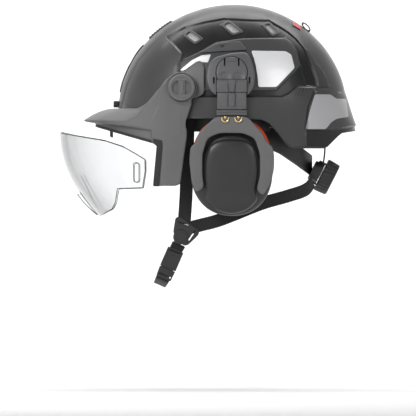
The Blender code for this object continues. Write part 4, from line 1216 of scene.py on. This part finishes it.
def make_lens():
    rows = 40
    columns = 120
    top = LENS_OUTLINE[0][1]
    drop = top - LENS_OUTLINE[-1][1] + 1.0
    bm = bmesh.new()
    grid = []
    for row in range(rows + 1):
        share = row / rows
        z = top + 0.3 - drop * share
        front = LENS_FRONT_X + LENS_SWEEP_BACK * share ** 2.1
        reach = LENS_REAR_X - front
        line = []
        for column in range(columns + 1):
            turn = math.pi * (column / columns - 0.5)
            x = LENS_REAR_X - reach * abs(math.cos(turn)) ** 0.8
            y = LENS_HALF_WIDTH * math.copysign(abs(math.sin(turn)) ** 0.8, turn)
            line.append(bm.verts.new(Vector((x, y, z)) * MM))
        grid.append(line)
    for upper, lower in zip(grid, grid[1:]):
        for column in range(columns):
            bm.faces.new((upper[column], upper[column + 1], lower[column + 1], lower[column]))
    lens = from_bmesh(bm)
    with_modifier(lens, "SOLIDIFY", thickness=LENS_THICKNESS * MM, offset=0.0)
    outline = rounded(LENS_OUTLINE, 6.0)
    combine(lens, [plate(outline, -110, 110)], "INTERSECT")
    carve(lens, plate(rounded(LENS_SLOT, 3.0), -110, 110))
    finish(lens, "shield", CLEAR_LOOK, "lens", ["face_shield"], 40.0)
    # Moulded edge bead, near-black as painted shade for how the clear edges look dark, and the raised grip
    # along the front of the lower edge.
    edging = []
    for side in SIDES.values():
        lower = [(-203, -114.4), (-150, -123.2), (-128, -130.4), (-114, -138.4), (-101.5, -146.2),
                 (-101.2, -160), (-104.4, -179.8), (-134.2, -180.9), (-136.6, -197), (-140.5, -205),
                 (-154, -212.6)]
        route = [lens_place(side, x, z) for x, z in resample(lower, 3.0)[:-18]]
        edging.append(tube(route, 0.55, 2))
        slot = [lens_place(side, x, z) for x, z in rounded(LENS_SLOT, 3.0)]
        edging.append(tube(slot, 0.45, 2, True))
    for z, reach, step in ((-114.0, 4.5, 0.8), (-213.2, 1.5, 0.6)):
        line = [(-1, front_x(z) + reach * (1 - t)) for t in span(0, 1, 9)]
        line += [(1, front_x(z) + reach * t) for t in span(0, 1, 9)]
        edging.append(tube([lens_place(side, x, z) for side, x in line], step, 2))
    finish(join(*edging), "shield_edges", SHIELD_EDGE_SHADE_LOOK, "lens")
    rows_of_front = [[Vector((front_x(z) + depth, y, z)) for y, depth in
                      ((-26, 3.0), (0, 1.4), (26, 3.0), (26, 6.6), (0, 5.0),
                       (-26, 6.6))] for z in span(-115, -205, 24)]
    finish(loft(rows_of_front), "shield_front", CLEAR_LOOK, "lens")
    heights = span(-187, -212.5, 12)
    outer = [(front_x(z) - 4.6 * math.sqrt(max(0.0, 1 - ((z + 190) / 24) ** 2)), z) for z in heights]
    outline = outer + [(front_x(z) + 0.6, z) for z in reversed(heights)]
    tab = bevelled(plate(outline, -15, 15), 0.8)
    # The grip's edges get the same near-black painted shade.
    lips = [tube([(x, y, z) for x, z in outer], 0.5, 2) for y in (-14.5, 14.5)]
    finish(tab, "shield_grip", CLEAR_LOOK, "lens")
    finish(join(*lips), "grip_edges", SHIELD_EDGE_SHADE_LOOK, "lens")


# ---------------------------------------------------------------- headband and ratchet

def band(reach, half_width, turns, heights, thickness, bulge=0.0):
    sections = []
    for turn in turns:
        angle = math.radians(turn)
        x = -reach * math.cos(angle)
        y = half_width * math.sin(angle)
        out = Vector((x / reach ** 2, y / half_width ** 2, 0)).normalized()
        low, high = heights(x)
        middle = (low + high) / 2
        near = Vector((x, y, 0))
        far = near + out * thickness
        sections.append([(near.x, near.y, low + 1), (near.x - out.x * bulge, near.y - out.y * bulge, middle),
                         (near.x, near.y, high - 1), (near.x + out.x * 0.3, near.y + out.y * 0.3, high),
                         (far.x - out.x * 0.3, far.y - out.y * 0.3, high), (far.x, far.y, high - 1),
                         (far.x, far.y, middle), (far.x, far.y, low + 1),
                         (far.x - out.x * 0.3, far.y - out.y * 0.3, low),
                         (near.x + out.x * 0.3, near.y + out.y * 0.3, low)])
    return loft(sections)


def span(low, high, count):
    return [low + (high - low) * index / (count - 1) for index in range(count)]


def nape_heights(x):
    middle = interpolate([(30, -112), (60, -126), (80, -140), (97, -153)], x)
    return middle - 13, middle + 12


def make_headband():
    ring = band(100.0, 76.0, span(-118, 118, 121), lambda x: (-112, -84), 1.8)
    finish(ring, "head_ring", DARK_LOOK, "helmet", ["headband"])
    nape = band(97.0, 73.0, span(104, 256, 91), nape_heights, 1.8)
    finish(nape, "nape_strap", DARK_LOOK, "nape", ["nape_band"])
    sweat = band(95.6, 71.6, span(-58, 58, 41), lambda x: (-116, -82), 3.4, 0.8)
    with_modifier(sweat, "SUBSURF", levels=1, render_levels=1)
    inflate(sweat, 1.0, 0.5, 12)
    keep_within(sweat, "sweatband", 0.3)
    finish(sweat, "brow_pad", PAD_LOOK, "helmet", ["sweatband"])


def make_crown_pad():
    low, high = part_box("crown_pad")
    pad = block(low / MM, high / MM)
    with_modifier(pad, "SUBSURF", levels=4, render_levels=4, subdivision_type="SIMPLE")
    centre = (low + high) / 2
    half = (high - low) / 2
    for vert in pad.data.vertices:
        u = (vert.co.x - centre.x) / half.x
        v = (vert.co.y - centre.y) / half.y
        crown = (1 - u ** 4) * (1 - v ** 4)
        vert.co.x = centre.x + half.x * u * (0.93 + 0.07 * (1 - v * v))
        vert.co.y = centre.y + half.y * v * (0.93 + 0.07 * (1 - u * u))
        if vert.co.z > centre.z:
            vert.co.z = high.z - (1 - crown) * 0.0025
        else:
            vert.co.z = min(centre.z, low.z + (1 - crown) * 0.0025)
    finish(pad, "top_pad", PAD_LOOK, "helmet", ["crown_pad"])


def ratchet_frame(depth, aside, up):
    return RATCHET_CENTRE + RATCHET_AXIS * depth + Vector((0, 1, 0)) * aside + RATCHET_UP * up


def make_ratchet():
    outline = rounded([(-31, -10), (-20, -13), (20, -13), (31, -10), (31, 9), (18, 13), (-18, 13), (-31, 9)],
                      5)
    rear = [ratchet_frame(-12.5, aside * 0.96, up * 0.92) for aside, up in outline]
    face = [ratchet_frame(-0.8, aside, up) for aside, up in outline]
    housing = bevelled(loft([rear, face]), 1.0)
    clips = [bevelled(loft([[ratchet_frame(depth, aside + wide, up + high) for wide, high in
                             ((-3, -1.2), (3, -1.2), (3, 1.2), (-3, 1.2))] for depth in (-9, 2.5)]), 0.4, 2)
             for aside in (-17, 17) for up in (-13.2, 13.2)]
    housing = join(housing, *clips)
    finish(housing, "housing", DARK_LOOK, "nape", ["ratchet_housing"])

    def flute(turn, along):
        return 1 - 0.045 * (0.5 + 0.5 * math.cos(turn * 26)) * step_up(along, 0.8,
                                                                       2.2) * (1 - step_up(along, 13, 14.6))

    profile = [(0, 19.4), (0.8, 20.3), (2.2, 20.4), (8, 20.2), (13, 19.8), (14.6, 19.6), (15.4, 19.0),
               (16, 17.8), (15.6, 15.4), (14.2, 13.8), (14.0, 6), (15.0, 5), (15.2, 0.4)]
    knob = turned(RATCHET_CENTRE, RATCHET_AXIS, profile, 208, flute)
    finish(knob, "knob", DARK_LOOK, "ratchet", ["ratchet_knob"])
    for label, side in SIDES.items():
        route = [(114, side * 27, -110), (114, side * 27, -124), (113.6, side * 26, -138),
                 (112, side * 25, -150)]
        hanger = webbing(route, lambda share: Vector((0, 1, 0)), 8.0, 1.4)
        finish(hanger, f"hanger_{label}", WEB_LOOK, None, [f"nape_hanger_{label}"])
        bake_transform(hanger)


# ---------------------------------------------------------------- straps and buckle

def make_straps():
    along_x = Vector((1, 0, 0))
    along_z = Vector((0, 0, 1))
    for label, side in SIDES.items():
        route = [(-50, side * 80, -92), (-50.6, side * 78.4, -118), (-51.6, side * 76.6, -155),
                 (-52.8, side * 75, -190), (-54.6, side * 73.2, -217), (-55.6, side * 72.6, -223)]
        front = webbing(route, lambda share: along_x)
        finish(front, f"front_webbing_{label}", WEB_LOOK, "helmet", [f"front_strap_{label}"])
        route = [(-49, side * 72.4, -228), (-43, side * 72.4, -226.4), (-35.4, side * 72.5, -224.5),
                 (-10, side * 73.5, -217.5), (37, side * 70, -199), (68, side * 60, -190),
                 (90, side * 46, -182.5), (99, side * 34, -173)]
        rear = webbing(route, lambda share: along_z)
        finish(rear, f"rear_webbing_{label}", WEB_LOOK, None, [f"rear_strap_{label}"])
        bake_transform(rear)
        make_divider(label, side)


def make_divider(label, side):
    body = side_plate(side, rounded(DIVIDER, 6.0), 70.4, 74.6)
    slots = [side_plate(side, rounded([(-62.5, -219.6), (-61.6, -221.4), (-47.6, -226.0), (-48.4, -224.2)],
                                      0.7), 60, 90),
             side_plate(side, rounded([(-42.2, -230.4), (-41.0, -231.4), (-49, -243.4), (-50.2, -242.6)],
                                      0.6), 60, 90)]
    carve(body, *slots)
    button = turned((-59, side * 69.2, -238.5), (0, side, 0),
                    [(0, 8.2), (0.8, 9.0), (6.2, 9.0), (7.0, 8.2), (7.2, 6.4), (6.6, 5.8), (6.6, 0.3)], 64)
    finish(join(bevelled(body, 0.8), button), f"divider_{label}", DARK_LOOK, "helmet",
           [f"strap_divider_{label}"])


def buckle_place(down, across, aside):
    return BUCKLE_TOP + BUCKLE_AXIS * down + BUCKLE_ACROSS * across + Vector((0, aside, 0))


def buckle_block(down, across, aside, taper=0.0):
    sections = []
    for d, squeeze in ((down[0], 0.0), (down[1], taper)):
        corners = ((across[0] + squeeze, aside[0]), (across[1] - squeeze, aside[0]),
                   (across[1] - squeeze, aside[1]), (across[0] + squeeze, aside[1]))
        sections.append([buckle_place(d, a, s) for a, s in corners])
    return loft(sections)


def make_buckle():
    strap = webbing([buckle_place(-8.0, 0, -0.4), buckle_place(-4.0, 0, -0.4), buckle_place(2.0, 0, 0)],
                    lambda share: BUCKLE_ACROSS)
    finish(strap, "lower_webbing", WEB_LOOK, "helmet", ["lower_strap"])

    socket = buckle_block((0, FEMALE_LENGTH), (-10, 10), (-4.6, 4.6))
    carve(socket, buckle_block((5, FEMALE_LENGTH + 2), (-7.8, 7.8), (-2.9, 2.9)),
          buckle_block((9, 19), (-12, -6.6), (-2.2, 2.2)), buckle_block((9, 19), (6.6, 12), (-2.2, 2.2)),
          buckle_block((1.6, 3.6), (-7.4, 7.4), (-6, 6)))
    ribs = [bevelled(buckle_block((d, d + 1.3), (-7, 7), (-5.2, -4.2)), 0.35, 2) for d in (6.0, 20.4)]
    finish(join(bevelled(socket, 0.7), *ribs), "buckle_female", DARK_LOOK, "helmet",
           ["buckle_socket"])

    base = bevelled(buckle_block((FEMALE_LENGTH + 0.6, FEMALE_LENGTH + MALE_LENGTH), (-10, 10), (-4.6, 4.6),
                                 0.8), 0.9)
    carve(base, buckle_block((FEMALE_LENGTH + 8.4, FEMALE_LENGTH + 10.4), (-7.6, 7.6), (-6, 6)))
    tongue = bevelled(buckle_block((6.4, FEMALE_LENGTH + 3), (-1.8, 1.8), (-2.0, 2.0)), 0.4)
    prongs = [bevelled(buckle_block((8, FEMALE_LENGTH + 3), sorted((hand * 4.6, hand * 7.2)), (-2.0, 2.0)),
                       0.4)
              for hand in (-1, 1)]
    ribs = [bevelled(buckle_block((FEMALE_LENGTH + d, FEMALE_LENGTH + d + 1.2), (-7, 7), (-5.1, -4.2)),
                     0.35, 2)
            for d in (2.4, 5.2)]
    finish(join(base, tongue, *prongs, *ribs), "buckle_male", DARK_LOOK, "plug",
           ["buckle_plug"])

    start = buckle_place(FEMALE_LENGTH + MALE_LENGTH - 2.5, 0, 0)
    route = [start, start + BUCKLE_AXIS * 4.6 + Vector((0, 1.0, 0)), (-82.6, -52, -293.4),
             (-84.2, -30, -295.4), (-84.4, 0, -295.8), (-84.0, 42, -294.8), (-80.5, 62, -286),
             (-70, 70, -264), (-60.6, 71.8, -247.5)]
    chin = webbing(route, lambda share: BUCKLE_ACROSS)
    finish(chin, "chin_webbing", WEB_LOOK, None, ["chin_strap"])
    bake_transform(chin)


# ---------------------------------------------------------------- carried-over nodes and the studio

def dress_kept_nodes():
    looks = {"impact_liner": LINER_LOOK, "crown_straps": WEB_LOOK, "ratchet_pinion": GREY_LOOK}
    for label in SIDES:
        looks[f"hub_pin_{label}"] = STEEL_LOOK
        looks[f"cup_foam_{label}"] = PAD_LOOK
    for node, look in looks.items():
        obj = frame["nodes"][node]
        for slot in obj.material_slots:
            slot.material = look
        obj.data.shade_smooth()
        obj.data.set_sharp_from_angle(angle=math.radians(38))


def area_light(name, place, aim, size, power):
    data = bpy.data.lights.new(name, "AREA")
    data.shape = "RECTANGLE"
    data.size = size[0]
    data.size_y = size[1]
    data.energy = power
    lamp = bpy.data.objects.new(name, data)
    lamp.visible_camera = False
    lamp.location = place
    lamp.rotation_euler = (Vector(aim) - Vector(place)).to_track_quat("-Z", "Y").to_euler()
    bpy.context.scene.collection.objects.link(lamp)


def make_studio():
    """A pale sweep that rises into a backdrop, and soft light from above, in front and behind."""
    floor_z = -0.42
    line = [(-3.0, floor_z)] + [(1.6 + 0.9 * math.sin(t), floor_z + 0.9 * (1 - math.cos(t)))
                                for t in (math.pi / 2 * step / 12 for step in range(13))] + [(2.5, 4.0)]
    bm = bmesh.new()
    left = [bm.verts.new((-5.0, y, z)) for y, z in line]
    right = [bm.verts.new((5.0, y, z)) for y, z in line]
    for index in range(len(line) - 1):
        bm.faces.new((left[index], right[index], right[index + 1], left[index + 1]))
    mesh = bpy.data.meshes.new("floor")
    bm.to_mesh(mesh)
    bm.free()
    mesh.shade_smooth()
    floor = bpy.data.objects.new("floor", mesh)
    bpy.context.scene.collection.objects.link(floor)
    pale = Look("pale_floor", (0.86, 0.86, 0.86), 0.8)
    pale.vary_colour(pale.noise(1.5), 0.99, 1.01)
    # Seen from outside, the sweep is clear, so it never hides the helmet.
    sides = pale.node("ShaderNodeNewGeometry")
    clear = pale.node("ShaderNodeBsdfTransparent")
    choice = pale.node("ShaderNodeMixShader")
    pale.link(sides.outputs["Backfacing"], choice.inputs[0])
    pale.link(pale.shader.outputs["BSDF"], choice.inputs[1])
    pale.link(clear.outputs["BSDF"], choice.inputs[2])
    pale.link(choice.outputs["Shader"], pale.tree.nodes["Material Output"].inputs["Surface"])
    mesh.materials.append(pale.material)

    world = bpy.data.worlds.new("studio")
    world.use_nodes = True
    background = world.node_tree.nodes["Background"]
    background.inputs["Color"].default_value = (1.0, 1.0, 1.0, 1.0)
    # White round the horizon and below it, dimmer overhead.
    nodes = world.node_tree.nodes
    links = world.node_tree.links
    direction = nodes.new("ShaderNodeTexCoord")
    parts = nodes.new("ShaderNodeSeparateXYZ")
    height = nodes.new("ShaderNodeMapRange")
    height.inputs["From Min"].default_value = 0.12
    height.inputs["From Max"].default_value = 0.4
    height.inputs["To Min"].default_value = 0.95
    height.inputs["To Max"].default_value = 0.34
    links.new(direction.outputs["Generated"], parts.inputs["Vector"])
    links.new(parts.outputs["Z"], height.inputs["Value"])
    links.new(height.outputs["Result"], background.inputs["Strength"])
    bpy.context.scene.world = world
    middle = (-0.03, 0.0, -0.1)
    area_light("key", (-0.9, -1.2, 0.8), middle, (0.8, 0.8), 18)
    area_light("rim", (0.2, 0.9, 1.1), middle, (1.4, 0.5), 2.5)
    area_light("fill", (1.3, -1.8, 1.0), middle, (0.8, 1.2), 10)
    area_light("backdrop", (0.0, 0.9, 1.8), (0.0, 2.4, -0.3), (3.0, 1.0), 52)
    bpy.context.scene.view_settings.view_transform = "Standard"


def make_camera():
    """A long lens square to the left side, with the picture's frame 499 mm wide at the middle plane."""
    width = 0.4992
    data = bpy.data.cameras.new("camera")
    data.sensor_width = 36.0
    data.lens = 900.0
    data.clip_end = 100.0
    distance = width * data.lens / data.sensor_width
    camera = bpy.data.objects.new("camera", data)
    camera.location = (-0.0264, -distance, -0.204)
    camera.rotation_euler = (math.pi / 2, 0.0, 0.0)
    bpy.context.scene.collection.objects.link(camera)
    bpy.context.scene.camera = camera


make_camera()
make_shell()
make_rim_trim()
make_vent_screens()
make_trim()
make_front_details()
make_goggle_clip()
for label, side in SIDES.items():
    make_muff_mount(label, side)
    make_release_button(label, side)
    make_arm(label, side)
    make_slider(label, side)
    make_yoke(label, side)
    make_cup(label, side)
    make_bracket(label, side)
    make_hub_knob(label, side)
make_cushions()
make_visor_frame()
make_lens_channel()
make_lens()
make_headband()
make_crown_pad()
make_ratchet()
make_straps()
make_buckle()
dress_kept_nodes()
make_studio()
